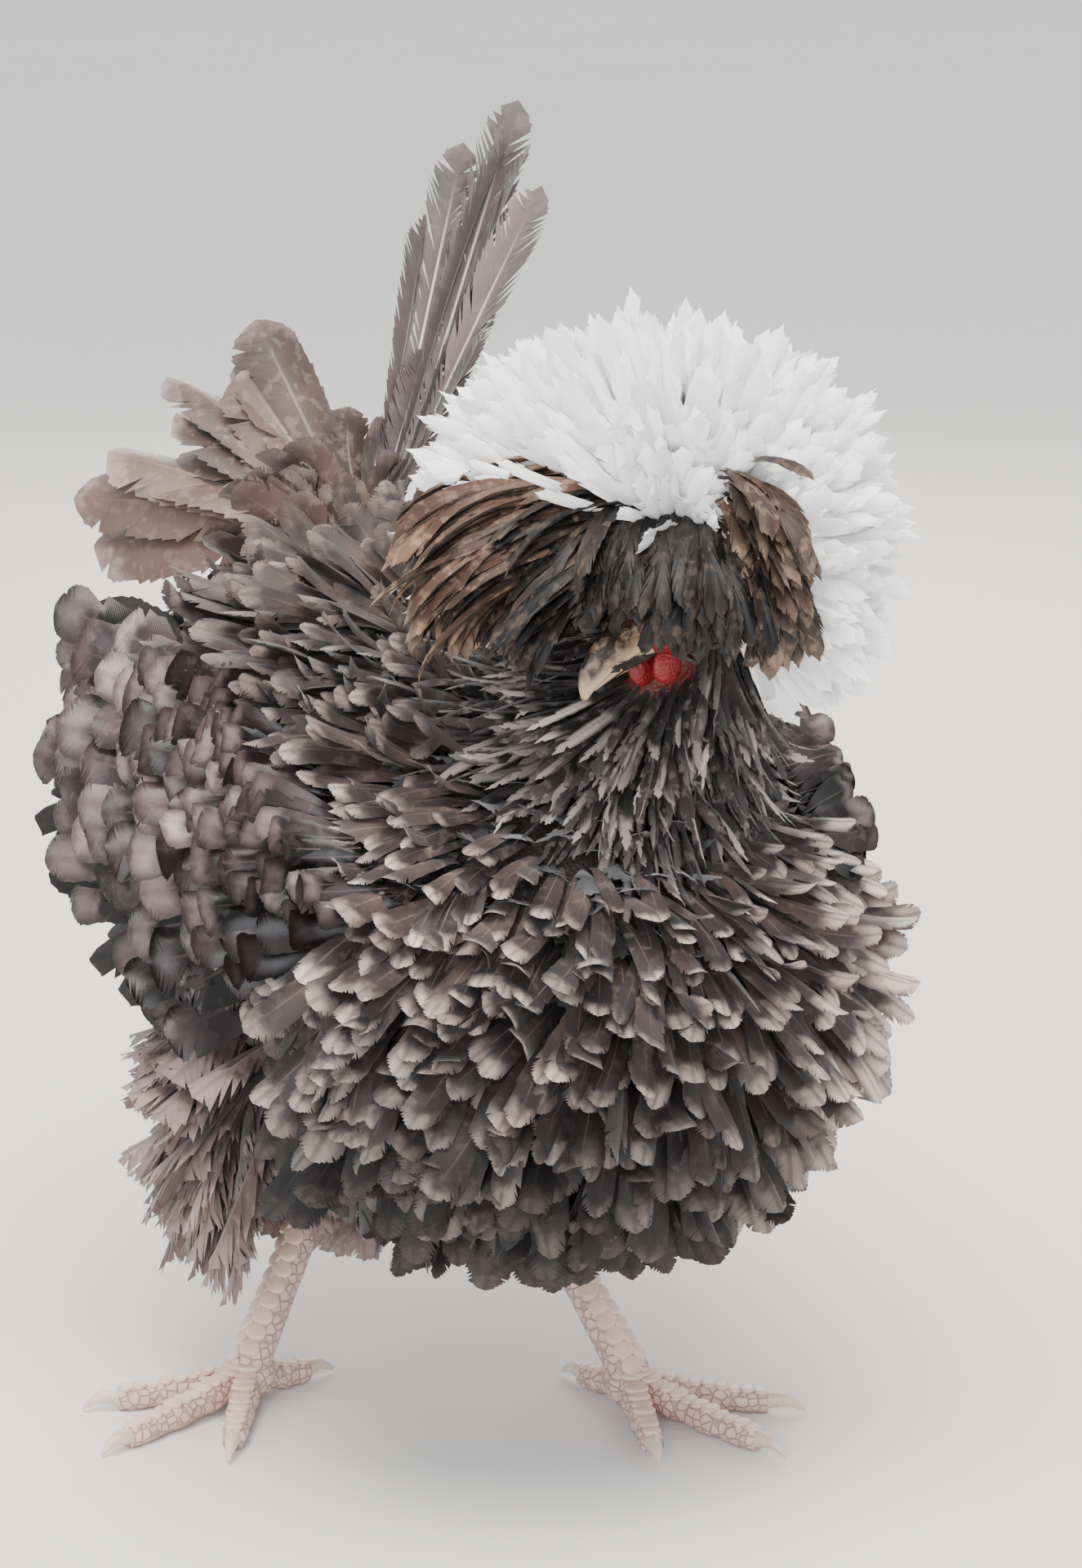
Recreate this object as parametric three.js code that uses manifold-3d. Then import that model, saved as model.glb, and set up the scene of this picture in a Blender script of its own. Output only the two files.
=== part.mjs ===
// A life-size crested hen with frizzled plumage, standing with her coat shaken out and her head turned down
// to her right. Millimetres, +Z up. She faces -Y and her left side is +X. Every solid is one closed body.
import * as THREE from "three";
import { mergeVertices } from "three/addons/utils/BufferGeometryUtils.js";
import Module from "manifold-3d";

const wasm = await Module();
wasm.setup();

const vec = (x, y, z) => new THREE.Vector3(x, y, z);
const rad = THREE.MathUtils.degToRad;
const lerp = THREE.MathUtils.lerp;
const UP = vec(0, 0, 1);

// Driving dimensions.
const GAP = 0.3; // between solids that touch
const SMALLEST_EDGE = 0.03; // slivers left by a cut are collapsed
const TORSO_CENTRE = vec(0, 0, 166);
const TORSO_HALF = vec(70, 102, 62); // the body under the coat
const TORSO_PITCH = 16; // degrees, rump higher than breast
const TORSO_REAR_TAPER = 0.16;
const NECK_PATH = [vec(6, -40, 184), vec(20, -60, 226), vec(33, -76, 256)];
const NECK_RADIUS = [27, 17, 13];
const HEAD_CENTRE = vec(19, -82, 262);
const HEAD_YAW = 79; // degrees, turned to her right
const HEAD_PITCH = 26; // degrees, beak down
const HEAD_ROLL = 3; // degrees, left ear down
const SKULL_HALF = vec(21, 13.5, 15.5); // forward, sideways and up
const KNOB_CENTRE = [-7, 0, 13]; // the bony knob under the crest, in the head's axes
const KNOB_RADIUS = 11.5;
const EYE_CENTRE = [7, 8.6, 2.5];
const EYE_RADIUS = 5.6;
const BEAK_BASE = 15; // forward of the head's centre
const BEAK_TIP = 43;
const CREST_CAP_RADIUS = 17;
const CREST_FEATHER = { length: 64, width: 20 };
const CREST_FACING = { azimuth: -26, elevation: 14 }; // the way that the shaken crest opens
const CONTOUR_FEATHER = { length: 52, width: 19, lift: 38, bend: 20 };
const CONTOUR_ROWS = 9; // of body feathers, from the neck down
const CONTOUR_ROUND = 18; // feathers in the widest row
const HACKLE = { length: 50, width: 13, bend: -18 };
const QUILL_WIDTH = 22; // a flight feather of the wing
const COVERT = { length: 48, width: 22 };
const FLANK_LOCK_WIDTH = 17;
const TAIL_ROOT = vec(9, 110, 246);
const TAIL_QUILL = { length: 153, width: 25 };
const SHANK_RADIUS = 5.6;
const TOE_RADIUS = 4.6;
const VANE_THICKNESS = 0.8;

// Relative width of a feather along its length, from root to tip.
const ROUND_TIP = [
  [0, 0.3],
  [0.62, 1],
  [1, 0.42],
];
const BLUNT_TIP = [
  [0, 0.25],
  [0.5, 0.95],
  [0.86, 0.86],
  [1, 0.3],
];
const POINTED_TIP = [
  [0, 0.45],
  [0.5, 1],
  [1, 0.2],
];

// Solids and joins.
function solidOf(geometry) {
  const bare = geometry.clone();
  bare.deleteAttribute("normal");
  bare.deleteAttribute("uv");
  const merged = mergeVertices(bare, 1e-4);
  return new wasm.Manifold(
    new wasm.Mesh({
      numProp: 3,
      vertProperties: new Float32Array(merged.attributes.position.array),
      triVerts: new Uint32Array(merged.index.array),
    }),
  );
}

// A piece is a function of how far it is grown on every side, so that the same piece can cut its neighbour
// clear.
const join = (pieces, grow = 0) => wasm.Manifold.union(pieces.map((piece) => solidOf(piece(grow))));

function largest(solid) {
  const bodies = solid.decompose();
  return bodies.reduce((a, b) => (a.volume() > b.volume() ? a : b));
}

function meshOf(name, solid, material) {
  const { vertProperties, triVerts, numProp, numVert } = largest(solid).getMesh();
  const positions = new Float32Array(numVert * 3);
  for (let i = 0; i < numVert; i++)
    positions.set(vertProperties.subarray(i * numProp, i * numProp + 3), i * 3);
  const geometry = new THREE.BufferGeometry();
  geometry.setAttribute("position", new THREE.BufferAttribute(positions, 3));
  geometry.setIndex(new THREE.BufferAttribute(new Uint32Array(triVerts), 1));
  geometry.computeVertexNormals();
  const mesh = new THREE.Mesh(geometry, material);
  mesh.name = name;
  return mesh;
}

// Skins rings of points into a closed body. Both faces of a flat body get the same diagonals, so that it
// keeps its thickness where it bends.
function loft(rings) {
  const sides = rings[0].length;
  const index = [];
  for (let i = 0; i + 1 < rings.length; i++)
    for (let k = 0; k < sides; k++) {
      const next = (k + 1) % sides;
      const [a, b, c, d] = [i * sides + k, i * sides + next, (i + 1) * sides + next, (i + 1) * sides + k];
      if (k < sides / 2) index.push(a, b, c, a, c, d);
      else index.push(a, b, d, b, c, d);
    }
  const last = (rings.length - 1) * sides;
  for (let k = 0; k < sides / 2 - 1; k++) {
    const far = sides - 1 - k;
    index.push(k, far, far - 1, k, far - 1, k + 1);
    index.push(last + k, last + far - 1, last + far, last + k, last + k + 1, last + far - 1);
  }
  return new THREE.BufferGeometry().setFromPoints(rings.flat()).setIndex(index);
}

// A round tube through points, with a radius at each, flattened along `flatAxis`.
function tube(path, radii, { sides = 10, steps = 8, flat = 1, flatAxis = UP } = {}) {
  return (grow = 0) => {
    const curve = new THREE.CatmullRomCurve3(path);
    const rings = [];
    for (let i = 0; i <= steps; i++) {
      const t = i / steps;
      const at = t * (radii.length - 1);
      const k = Math.min(Math.floor(at), radii.length - 2);
      const radius = lerp(radii[k], radii[k + 1], at - k);
      const along = curve.getTangent(t);
      const centre = curve.getPoint(t);
      if (grow && (i === 0 || i === steps)) centre.addScaledVector(along, i ? grow : -grow);
      const up = flatAxis.clone().addScaledVector(along, -flatAxis.dot(along)).normalize();
      const side = up.clone().cross(along);
      rings.push(
        Array.from({ length: sides }, (_, s) => {
          const angle = (2 * Math.PI * (s + 0.5)) / sides;
          return centre
            .clone()
            .addScaledVector(side, (radius + grow) * Math.cos(angle))
            .addScaledVector(up, (radius * flat + grow) * Math.sin(angle));
        }),
      );
    }
    return loft(rings);
  };
}

// One feather as a thin blade. It leaves its root along `along` with its outer face towards `up`, and bends
// by `bend` degrees towards that face on the way to its tip, or away from it where that is negative. `roll`
// turns it about its own shaft, as feathers that overlap like shingles are turned.
function vane({
  root,
  along,
  up,
  length,
  width,
  bend = 0,
  roll = 0,
  outline = ROUND_TIP,
  thickness = VANE_THICKNESS,
  sink = 6,
}) {
  return (grow = 0) => {
    const forward = along.clone().normalize();
    const side = up.clone().cross(forward).normalize().applyAxisAngle(forward, rad(roll));
    const outer = forward.clone().cross(side);
    const rings = [];
    const place = root.clone().addScaledVector(forward, -sink);
    const stations = outline.map(([t]) => t * length + (t > 0 ? sink : 0));
    stations.forEach((reach, i) => {
      const turned = (t) => forward.clone().multiplyScalar(Math.cos(t)).addScaledVector(outer, Math.sin(t));
      const angle = rad(bend) * outline[i][0];
      if (i) {
        const middle = rad(bend) * (outline[i][0] + outline[i - 1][0]) * 0.5;
        place.addScaledVector(turned(middle), reach - stations[i - 1]);
      }
      const normal = outer.clone().multiplyScalar(Math.cos(angle)).addScaledVector(
        forward,
        -Math.sin(angle),
      );
      const half = (outline[i][1] * width) / 2 + grow;
      const thick = (thickness * (i === stations.length - 1 ? 0.7 : 1)) / 2 + grow;
      const end = i === 0 ? -grow : i === stations.length - 1 ? grow : 0;
      const centre = place.clone().addScaledVector(turned(angle), end);
      const corner = (s, n) =>
        centre.clone().addScaledVector(side, s * half).addScaledVector(normal, n * thick);
      rings.push([corner(1, 1), corner(-1, 1), corner(-1, -1), corner(1, -1)]);
    });
    return loft(rings);
  };
}

// A ball of unit directions, mapped to the surface that `place` gives.
function ball(place, detail = 3) {
  return (grow = 0) => {
    const geometry = new THREE.IcosahedronGeometry(1, detail);
    const positions = geometry.attributes.position;
    const direction = new THREE.Vector3();
    for (let i = 0; i < positions.count; i++) {
      direction.fromBufferAttribute(positions, i).normalize();
      const point = place(direction, grow);
      positions.setXYZ(i, point.x, point.y, point.z);
    }
    return geometry;
  };
}

const WORLD_AXES = [vec(1, 0, 0), vec(0, 1, 0), vec(0, 0, 1)];
const ellipsoid = (centre, half, axes = WORLD_AXES, detail = 3) =>
  ball(
    (d, grow) =>
      centre
        .clone()
        .addScaledVector(axes[0], d.x * (half.x + grow))
        .addScaledVector(axes[1], d.y * (half.y + grow))
        .addScaledVector(axes[2], d.z * (half.z + grow)),
    detail,
  );

// A repeatable stream of small variations between -1 and 1.
function wobble(seed) {
  let state = seed;
  return () => {
    state = (state * 16807) % 2147483647;
    return (state / 2147483647) * 2 - 1;
  };
}

const SIDES = [
  ["left", 1],
  ["right", -1],
];

// The torso's surface in a unit direction, `out` millimetres above the body.
const torsoTurn = new THREE.Quaternion().setFromAxisAngle(vec(1, 0, 0), rad(TORSO_PITCH));
function torsoNormal(d) {
  return vec(d.x / TORSO_HALF.x, d.y / TORSO_HALF.y, d.z / TORSO_HALF.z).normalize()
    .applyQuaternion(torsoTurn);
}
function torsoPoint(d, out = 0) {
  const narrow = 1 - TORSO_REAR_TAPER * d.y;
  const point = vec(TORSO_HALF.x * d.x * narrow, TORSO_HALF.y * d.y, TORSO_HALF.z * d.z)
    .applyQuaternion(torsoTurn);
  return point.add(TORSO_CENTRE).addScaledVector(torsoNormal(d), out);
}
const torsoCore = ball((d, grow) => torsoPoint(d, grow));

// The head's own axes: forward along the beak, to her left, and up through the crown.
const headTurn = new THREE.Quaternion()
  .setFromAxisAngle(UP, -rad(HEAD_YAW))
  .multiply(new THREE.Quaternion().setFromAxisAngle(vec(1, 0, 0), rad(HEAD_PITCH)))
  .multiply(new THREE.Quaternion().setFromAxisAngle(vec(0, 1, 0), rad(HEAD_ROLL)));
const headAxes = [vec(0, -1, 0), vec(1, 0, 0), UP.clone()].map((v) => v.applyQuaternion(headTurn));
const inHead = (f, l, c) =>
  HEAD_CENTRE.clone().addScaledVector(headAxes[0], f).addScaledVector(headAxes[1], l)
    .addScaledVector(headAxes[2], c);
const knob = inHead(...KNOB_CENTRE);

// Head: skull, the knob that carries the crest, and cheeks that narrow to the beak.
const headPieces = [
  ellipsoid(inHead(0, 0, 0), SKULL_HALF, headAxes, 3),
  ellipsoid(knob, vec(KNOB_RADIUS, KNOB_RADIUS, KNOB_RADIUS), headAxes, 1),
  ellipsoid(inHead(11, 0, -3), vec(9, 8.5, 9.5), headAxes, 1),
];
const eyePiece = (sign) =>
  ellipsoid(
    inHead(EYE_CENTRE[0], sign * EYE_CENTRE[1], EYE_CENTRE[2]),
    vec(EYE_RADIUS, EYE_RADIUS, EYE_RADIUS),
    headAxes,
    2,
  );

// Each lid is a ridge that runs round the front of the eye.
function lidPiece(sign) {
  return (grow = 0) => {
    const around = 8;
    const rings = Array.from({ length: around }, (_, i) => {
      const angle = (2 * Math.PI * i) / around;
      const outward = vec(0, 0, 0).addScaledVector(headAxes[0], Math.cos(angle)).addScaledVector(
        headAxes[2],
        Math.sin(angle) * 0.82,
      );
      const centre = inHead(EYE_CENTRE[0], sign * (EYE_CENTRE[1] + 2.6), EYE_CENTRE[2]).addScaledVector(
        outward,
        EYE_RADIUS * 0.98,
      );
      return [0, 1, 2, 3].map((k) => {
        const turn = (Math.PI * (2 * k + 1)) / 4;
        return centre
          .clone()
          .addScaledVector(outward, (1.3 + grow) * Math.cos(turn))
          .addScaledVector(headAxes[1], (1.3 + grow) * Math.sin(turn));
      });
    });
    const index = [];
    for (let i = 0; i < around; i++)
      for (let k = 0; k < 4; k++) {
        const [a, b] = [i * 4 + k, i * 4 + ((k + 1) % 4)];
        const [c, d] = [((i + 1) % around) * 4 + ((k + 1) % 4), ((i + 1) % around) * 4 + k];
        index.push(a, b, c, a, c, d);
      }
    return new THREE.BufferGeometry().setFromPoints(rings.flat()).setIndex(index);
  };
}

// Beak: the upper half arches over the lower one. The nostrils stand in raised rims.
const beakAlong = (t) => lerp(BEAK_BASE, BEAK_TIP, t);
const beakUpper = tube(
  [
    inHead(BEAK_BASE - 3, 0, -0.5),
    inHead(beakAlong(0.4), 0, 0),
    inHead(beakAlong(0.8), 0, -3.5),
    inHead(BEAK_TIP, 0, -9),
  ],
  [8, 6.6, 4, 1],
  { sides: 10, steps: 6, flat: 0.86, flatAxis: headAxes[2] },
);
const beakLower = tube(
  [inHead(BEAK_BASE - 3, 0, -8), inHead(beakAlong(0.4), 0, -8.6), inHead(BEAK_TIP - 4, 0, -9.4)],
  [6.4, 4.6, 1.2],
  { sides: 8, steps: 4, flat: 0.6, flatAxis: headAxes[2] },
);
const nostrilRim = (sign) =>
  ellipsoid(inHead(beakAlong(0.2), sign * 3.8, 4.4), vec(4.6, 3, 2.6), headAxes, 1);
const nostrilPit = (sign) => ellipsoid(inHead(beakAlong(0.25), sign * 6, 4), vec(3, 2, 1.2), headAxes, 0);
const wattle = (sign) => ellipsoid(inHead(17, sign * 5.5, -17), vec(6, 2, 7.5), headAxes, 1);
const earlobe = (sign) => ellipsoid(inHead(-5, sign * 12.5, -7), vec(4, 2.2, 5), headAxes, 1);
const combHorn = (sign) => tube(
  [inHead(13, sign * 1.5, 8), inHead(17, sign * 3, 12), inHead(17.5, sign * 5.5, 18)],
  [3, 2.4, 0.8],
  { sides: 6, steps: 3 },
);

// Legs.
const LEGS = {
  right: { hip: vec(-36, 22, 126), hock: vec(-26, 54, 74), foot: vec(-68, 28, 11), heading: -66 },
  left: { hip: vec(36, 4, 122), hock: vec(11, 16, 74), foot: vec(33, -28, 11), heading: 20 },
};
const TOES = [
  { turn: 0, length: 52 },
  { turn: 37, length: 42 },
  { turn: -37, length: 40 },
  { turn: 172, length: 22 },
];
const heading = (degrees) => vec(Math.sin(rad(degrees)), -Math.cos(rad(degrees)), 0);
const shankRadii = [7.8, SHANK_RADIUS, SHANK_RADIUS, 6.6];
const shankPath = ({ hock, foot }) => [hock, hock.clone().lerp(foot, 0.5).add(vec(0, -1.5, 0)), foot];

// Two columns of scutes down the front of the shank, each a plate that stands a little proud.
function shankScutes(leg) {
  const curve = new THREE.CatmullRomCurve3(shankPath(leg));
  const front = heading(leg.heading);
  const rows = 4;
  const pieces = [];
  for (let row = 0; row < rows; row++)
    for (const column of [-1, 1]) {
      const t = 0.16 + (0.8 * (row + (column > 0 ? 0.5 : 0))) / rows;
      const along = curve.getTangent(t);
      const forward = front.clone().addScaledVector(along, -front.dot(along)).normalize();
      const across = forward.clone().cross(along);
      const normal = forward.clone().addScaledVector(across, column * 0.62).normalize();
      const root = curve.getPoint(t).addScaledVector(normal, SHANK_RADIUS + 0.1);
      const outline = [
        [0, 0.8],
        [1, 1],
      ];
      pieces.push(
        vane({
          root,
          along: along.clone().addScaledVector(normal, 0.05),
          up: normal,
          length: 12.4,
          width: 6,
          outline,
          thickness: 1.6,
          sink: 0,
        }),
      );
    }
  return pieces;
}
const shankPieces = (leg) =>
  [tube(shankPath(leg), shankRadii, { sides: 10, steps: 5 }), ...shankScutes(leg)];
const toePoint = (leg, toe, reach, z) =>
  leg.foot.clone().setZ(z).addScaledVector(heading(leg.heading + toe.turn), reach);

// A toe has a pad under each joint and a scute over each bone, so its tube swells and narrows.
function toePiece(leg, toe) {
  const path = [
    toePoint(leg, toe, 0, 8),
    toePoint(leg, toe, toe.length * 0.3, 6),
    toePoint(leg, toe, toe.length * 0.65, 4.2),
    toePoint(leg, toe, toe.length, 3.4),
  ];
  const bones = toe.length > 30 ? 3 : 2;
  const radii = Array.from(
    { length: bones * 2 + 1 },
    (_, i) => lerp(TOE_RADIUS + 0.8, TOE_RADIUS - 1.2, i / (bones * 2)) + (i % 2 ? 0.35 : -0.35),
  );
  return tube(path, radii, { sides: 7, steps: bones * 2 });
}
const footPieces = (leg) => [
  ellipsoid(leg.foot.clone().setZ(8), vec(8, 8, 7.6), WORLD_AXES, 1),
  ...TOES.map((toe) => toePiece(leg, toe)),
];
function clawPiece(leg, toe) {
  const base = toe.length - 2;
  return tube(
    [toePoint(leg, toe, base, 4), toePoint(leg, toe, base + 7, 4.4), toePoint(leg, toe, base + 13, 1.2)],
    [2.5, 1.9, 0.5],
    { sides: 5, steps: 3 },
  );
}
const floorBlock = solidOf(new THREE.BoxGeometry(600, 600, 600).translate(0, 0, 300));

// Thighs: a drumstick down to the hock. Loose feathers hang round it, and longer ones fan out from the
// flank above it.
const thighPath = ({ hip, hock }) => [hip, hip.clone().lerp(hock, 0.5).add(vec(0, 3, 0)), hock];
const THIGH_RADII = [26, 18, 10];
function drumstick(leg, sign) {
  const vary = wobble(sign > 0 ? 61 : 67);
  const pieces = [tube(thighPath(leg), THIGH_RADII, { sides: 10, steps: 4 })];
  const outward = vec(sign * 0.92, 0.38, 0);
  const locks = 7;
  for (let i = 0; i < locks; i++) {
    const t = i / (locks - 1);
    const fall = rad(lerp(12, 74, t)); // below the horizontal
    pieces.push(
      vane({
        root: leg.hip.clone().add(vec(sign * 20, lerp(2, 16, t), lerp(4, -18, t))),
        along: outward.clone().multiplyScalar(Math.cos(fall)).add(vec(0, 0, -Math.sin(fall))),
        up: vec(sign * 0.3, -1, 0.5),
        length: lerp(44, 66, t) * (1 + vary() * 0.05),
        width: FLANK_LOCK_WIDTH,
        bend: -10 + vary() * 6,
        roll: sign * 12,
        outline: POINTED_TIP,
        sink: 9,
      }),
    );
  }
  return pieces;
}
function thighLocks(leg, sign) {
  const curve = new THREE.CatmullRomCurve3(thighPath(leg));
  const vary = wobble(sign > 0 ? 31 : 47);
  const pieces = [];
  for (let ring = 0; ring < 2; ring++)
    for (let i = 0; i < 4; i++) {
      const t = 0.46 + 0.32 * ring;
      const along = curve.getTangent(t);
      const angle = rad(i * 90 + ring * 45 + vary() * 8);
      const outward = vec(Math.cos(angle), Math.sin(angle), 0);
      outward.addScaledVector(along, -outward.dot(along)).normalize();
      const radius = lerp(THIGH_RADII[1], THIGH_RADII[2], (t - 0.46) / 0.5) - 1;
      pieces.push(
        vane({
          root: curve.getPoint(t).addScaledVector(outward, radius),
          along: outward.clone().multiplyScalar(0.75).add(vec(0, 0, -0.8)),
          up: outward,
          length: 36 + vary() * 4,
          width: 16,
          bend: -20,
        }),
      );
    }
  return pieces;
}

// Torso coat: contour feathers in rows that run round the body, from the base of the neck to the belly.
// They lie away from the neck and curl outwards at the tip.
const NECK_ON_TORSO = vec(0.08, -0.45, 0.88).normalize();
const underWing = (p) => Math.abs(p.x) > 42 && p.y > -58 && p.y < 66 && p.z > 130 && p.z < 232;
function torsoFeathers() {
  const vary = wobble(7);
  const pieces = [];
  const across = NECK_ON_TORSO.clone().cross(vec(0, 1, 0)).normalize();
  const other = NECK_ON_TORSO.clone().cross(across);
  const places = [];
  for (let row = 0; row < CONTOUR_ROWS; row++) {
    const polar = rad(lerp(30, 165, row / (CONTOUR_ROWS - 1)));
    const count = Math.round(CONTOUR_ROUND * Math.sin(polar)) + 1;
    for (let i = 0; i < count; i++) {
      const angle = (2 * Math.PI * (i + 0.5 * (row % 2))) / count;
      const spoke = across.clone().multiplyScalar(Math.cos(angle)).addScaledVector(other, Math.sin(angle));
      places.push(spoke.multiplyScalar(Math.sin(polar)).addScaledVector(NECK_ON_TORSO, Math.cos(polar)));
    }
  }
  for (const d of places) {
    const skin = torsoPoint(d);
    const normal = torsoNormal(d);
    if (skin.distanceTo(NECK_PATH[0].clone().lerp(NECK_PATH[1], 0.4)) < 38) continue;
    if (underWing(skin)) continue;
    if (skin.distanceTo(TAIL_ROOT) < 42) continue;
    if (SIDES.some(([side]) => skin.distanceTo(LEGS[side].hip) < 26)) continue;
    const lie = normal.clone().multiplyScalar(NECK_ON_TORSO.dot(normal)).sub(NECK_ON_TORSO)
      .add(vec(0, 0, -0.35));
    lie.addScaledVector(normal, -lie.dot(normal)).normalize();
    const lift = rad(CONTOUR_FEATHER.lift + vary() * 4);
    const longer = 1 + 0.1 * Math.max(0, -normal.z);
    pieces.push(
      vane({
        root: skin,
        along: lie.multiplyScalar(Math.cos(lift)).addScaledVector(normal, Math.sin(lift)),
        up: normal,
        length: CONTOUR_FEATHER.length * longer * (1 + vary() * 0.06),
        width: CONTOUR_FEATHER.width * (1 + vary() * 0.08),
        bend: CONTOUR_FEATHER.bend + vary() * 6,
      }),
    );
  }
  return pieces;
}

// Neck: a tapered tube from the torso to the back of the skull, with hackles that stand out all round.
const neckCore = tube(NECK_PATH, NECK_RADIUS, { sides: 12, steps: 5 });
function hackles() {
  const curve = new THREE.CatmullRomCurve3(NECK_PATH);
  const vary = wobble(19);
  const pieces = [];
  const rings = [
    { t: 0.42, radius: 19, count: 10, lift: 84, length: 1.1 },
    { t: 0.6, radius: 16, count: 9, lift: 78, length: 0.95 },
    { t: 0.8, radius: 14, count: 7, lift: 70, length: 0.75 },
  ];
  rings.forEach(({ t, radius, count, lift, length }, ring) => {
    const along = curve.getTangent(t);
    const across = along.clone().cross(vec(1, 0, 0)).normalize();
    const other = along.clone().cross(across);
    for (let i = 0; i < count; i++) {
      const angle = (2 * Math.PI * (i + 0.5 * (ring % 2))) / count;
      const outward = across.clone().multiplyScalar(Math.cos(angle)).addScaledVector(
        other,
        Math.sin(angle),
      );
      const raise = rad(lift + vary() * 5);
      pieces.push(
        vane({
          root: curve.getPoint(t).addScaledVector(outward, radius - 2),
          along: outward.clone().multiplyScalar(Math.sin(raise)).addScaledVector(along, -Math.cos(raise)),
          up: outward.clone().add(along),
          length: HACKLE.length * length * (1 + vary() * 0.08),
          width: HACKLE.width,
          bend: HACKLE.bend,
          outline: POINTED_TIP,
        }),
      );
    }
  });
  return pieces;
}

// Wings: an arm along the side of the torso carries the flight feathers, with tiers of coverts over them.
const WING_FRONT = vec(0.74, -0.62, 0.34).normalize(); // the wrist, as a direction on the torso
const WING_BACK = vec(0.78, 0.34, 0.62).normalize(); // the elbow
function wingPieces(sign) {
  const mirror = (v) => vec(v.x * sign, v.y, v.z);
  const onArm = (t, out) => mirror(torsoPoint(WING_FRONT.clone().lerp(WING_BACK, t).normalize(), out));
  const outwards = (t) => mirror(torsoNormal(WING_FRONT.clone().lerp(WING_BACK, t).normalize()));
  const vary = wobble(sign > 0 ? 5 : 11);
  const arm = tube(
    [onArm(0, 3), onArm(0.35, 5), onArm(0.7, 5), onArm(1, 3)],
    [11, 15, 14, 9],
    { sides: 8, steps: 5, flat: 0.55, flatAxis: outwards(0.5) },
  );
  const pieces = [arm];
  const quills = 9;
  for (let i = 0; i < quills; i++) {
    const t = i / (quills - 1); // 0 for the outermost primary, 1 for the innermost secondary
    const tip = mirror(
      vec(lerp(80, 94, Math.sin(t * Math.PI)), lerp(62, 112, Math.min(1, t * 1.5)), lerp(104, 226, t))
    );
    const root = onArm(0.06 + 0.9 * t, lerp(4, 9, t));
    const reach = tip.clone().sub(root);
    pieces.push(
      vane({
        root,
        along: reach.clone().normalize().addScaledVector(outwards(0.4), -0.1),
        up: outwards(0.45).clone().add(mirror(vec(0.4, 0, 0))),
        length: reach.length(),
        width: QUILL_WIDTH,
        bend: 14 + vary() * 3,
        roll: -sign * 12,
        outline: BLUNT_TIP,
        thickness: 1,
      }),
    );
  }
  const tiers = [
    { count: 6, length: 62, out: 12, lift: 18, bend: 26 },
    { count: 5, length: 44, out: 14, lift: 34, bend: 30 },
    { count: 4, length: 30, out: 13, lift: 52, bend: 30 },
  ];
  tiers.forEach(({ count, length, out, lift, bend }, tier) => {
    for (let i = 0; i < count; i++) {
      const t = (i + 0.3 + 0.3 * (tier % 2)) / count;
      const outer = outwards(t);
      const down = vec(0, lerp(0.75, 1, t), lerp(-0.75, -0.15, t)).normalize();
      down.addScaledVector(outer, -down.dot(outer)).normalize();
      const raise = rad(lift + vary() * 4);
      pieces.push(
        vane({
          root: onArm(t, out - 4).addScaledVector(down, -2 - 3 * tier),
          along: down.multiplyScalar(Math.cos(raise)).addScaledVector(outer, Math.sin(raise)),
          up: outer,
          length: length * (1 + vary() * 0.06),
          width: COVERT.width,
          bend: bend + vary() * 4,
          roll: -sign * 8,
        }),
      );
    }
  });
  return pieces;
}

// Tail: the upright quills lean to her left and the loosened ones fan out flat to her right.
function tailPieces() {
  const vary = wobble(23);
  const pieces = [
    tube([vec(2, 72, 206), vec(7, 96, 234), TAIL_ROOT], [25, 18, 10], { sides: 10, steps: 4 })
  ];
  const upright = 6;
  for (let i = 0; i < upright; i++) {
    const t = i / (upright - 1) - 0.5;
    pieces.push(
      vane({
        root: TAIL_ROOT.clone().add(vec(2, 6 * t, 0)),
        along: vec(0.42 - 0.16 * t, 0.18 + 0.42 * t, 0.9),
        up: vec(0.9, -0.35 - 0.5 * t, -0.4),
        length: TAIL_QUILL.length * (1 - 0.5 * t * t + vary() * 0.04),
        width: TAIL_QUILL.width * 0.8,
        bend: 4 + 10 * t,
        roll: 14,
        outline: BLUNT_TIP,
        thickness: 1,
        sink: 8,
      }),
    );
  }
  const fanned = 6;
  for (let i = 0; i < fanned; i++) {
    const t = i / (fanned - 1);
    const sweep = rad(lerp(6, 74, t)); // above the horizontal
    pieces.push(
      vane({
        root: TAIL_ROOT.clone().add(vec(-4 + 3 * t, 3, -2 + 3 * t)),
        along: vec(-0.74 * Math.cos(sweep), 0.62, Math.sin(sweep)),
        up: vec(-0.25, -0.55, 0.8),
        length: lerp(0.64, 0.47, t) * TAIL_QUILL.length * (1 + vary() * 0.06),
        width: TAIL_QUILL.width,
        bend: -28,
        roll: 12,
        outline: BLUNT_TIP,
        sink: 8,
      }),
    );
  }
  const coverts = 7;
  for (let i = 0; i < coverts; i++) {
    const angle = (2 * Math.PI * i) / coverts;
    const outward = vec(Math.cos(angle), 0.5 * Math.sin(angle), 0.75 * Math.sin(angle)).normalize();
    pieces.push(
      vane({
        root: vec(6, 94, 230).addScaledVector(outward, 12),
        along: outward.clone().multiplyScalar(0.75).add(vec(0, 0.45, 0.5)),
        up: outward,
        length: COVERT.length * (0.95 + vary() * 0.08),
        width: COVERT.width,
        bend: 18,
      }),
    );
  }
  return pieces;
}

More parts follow.
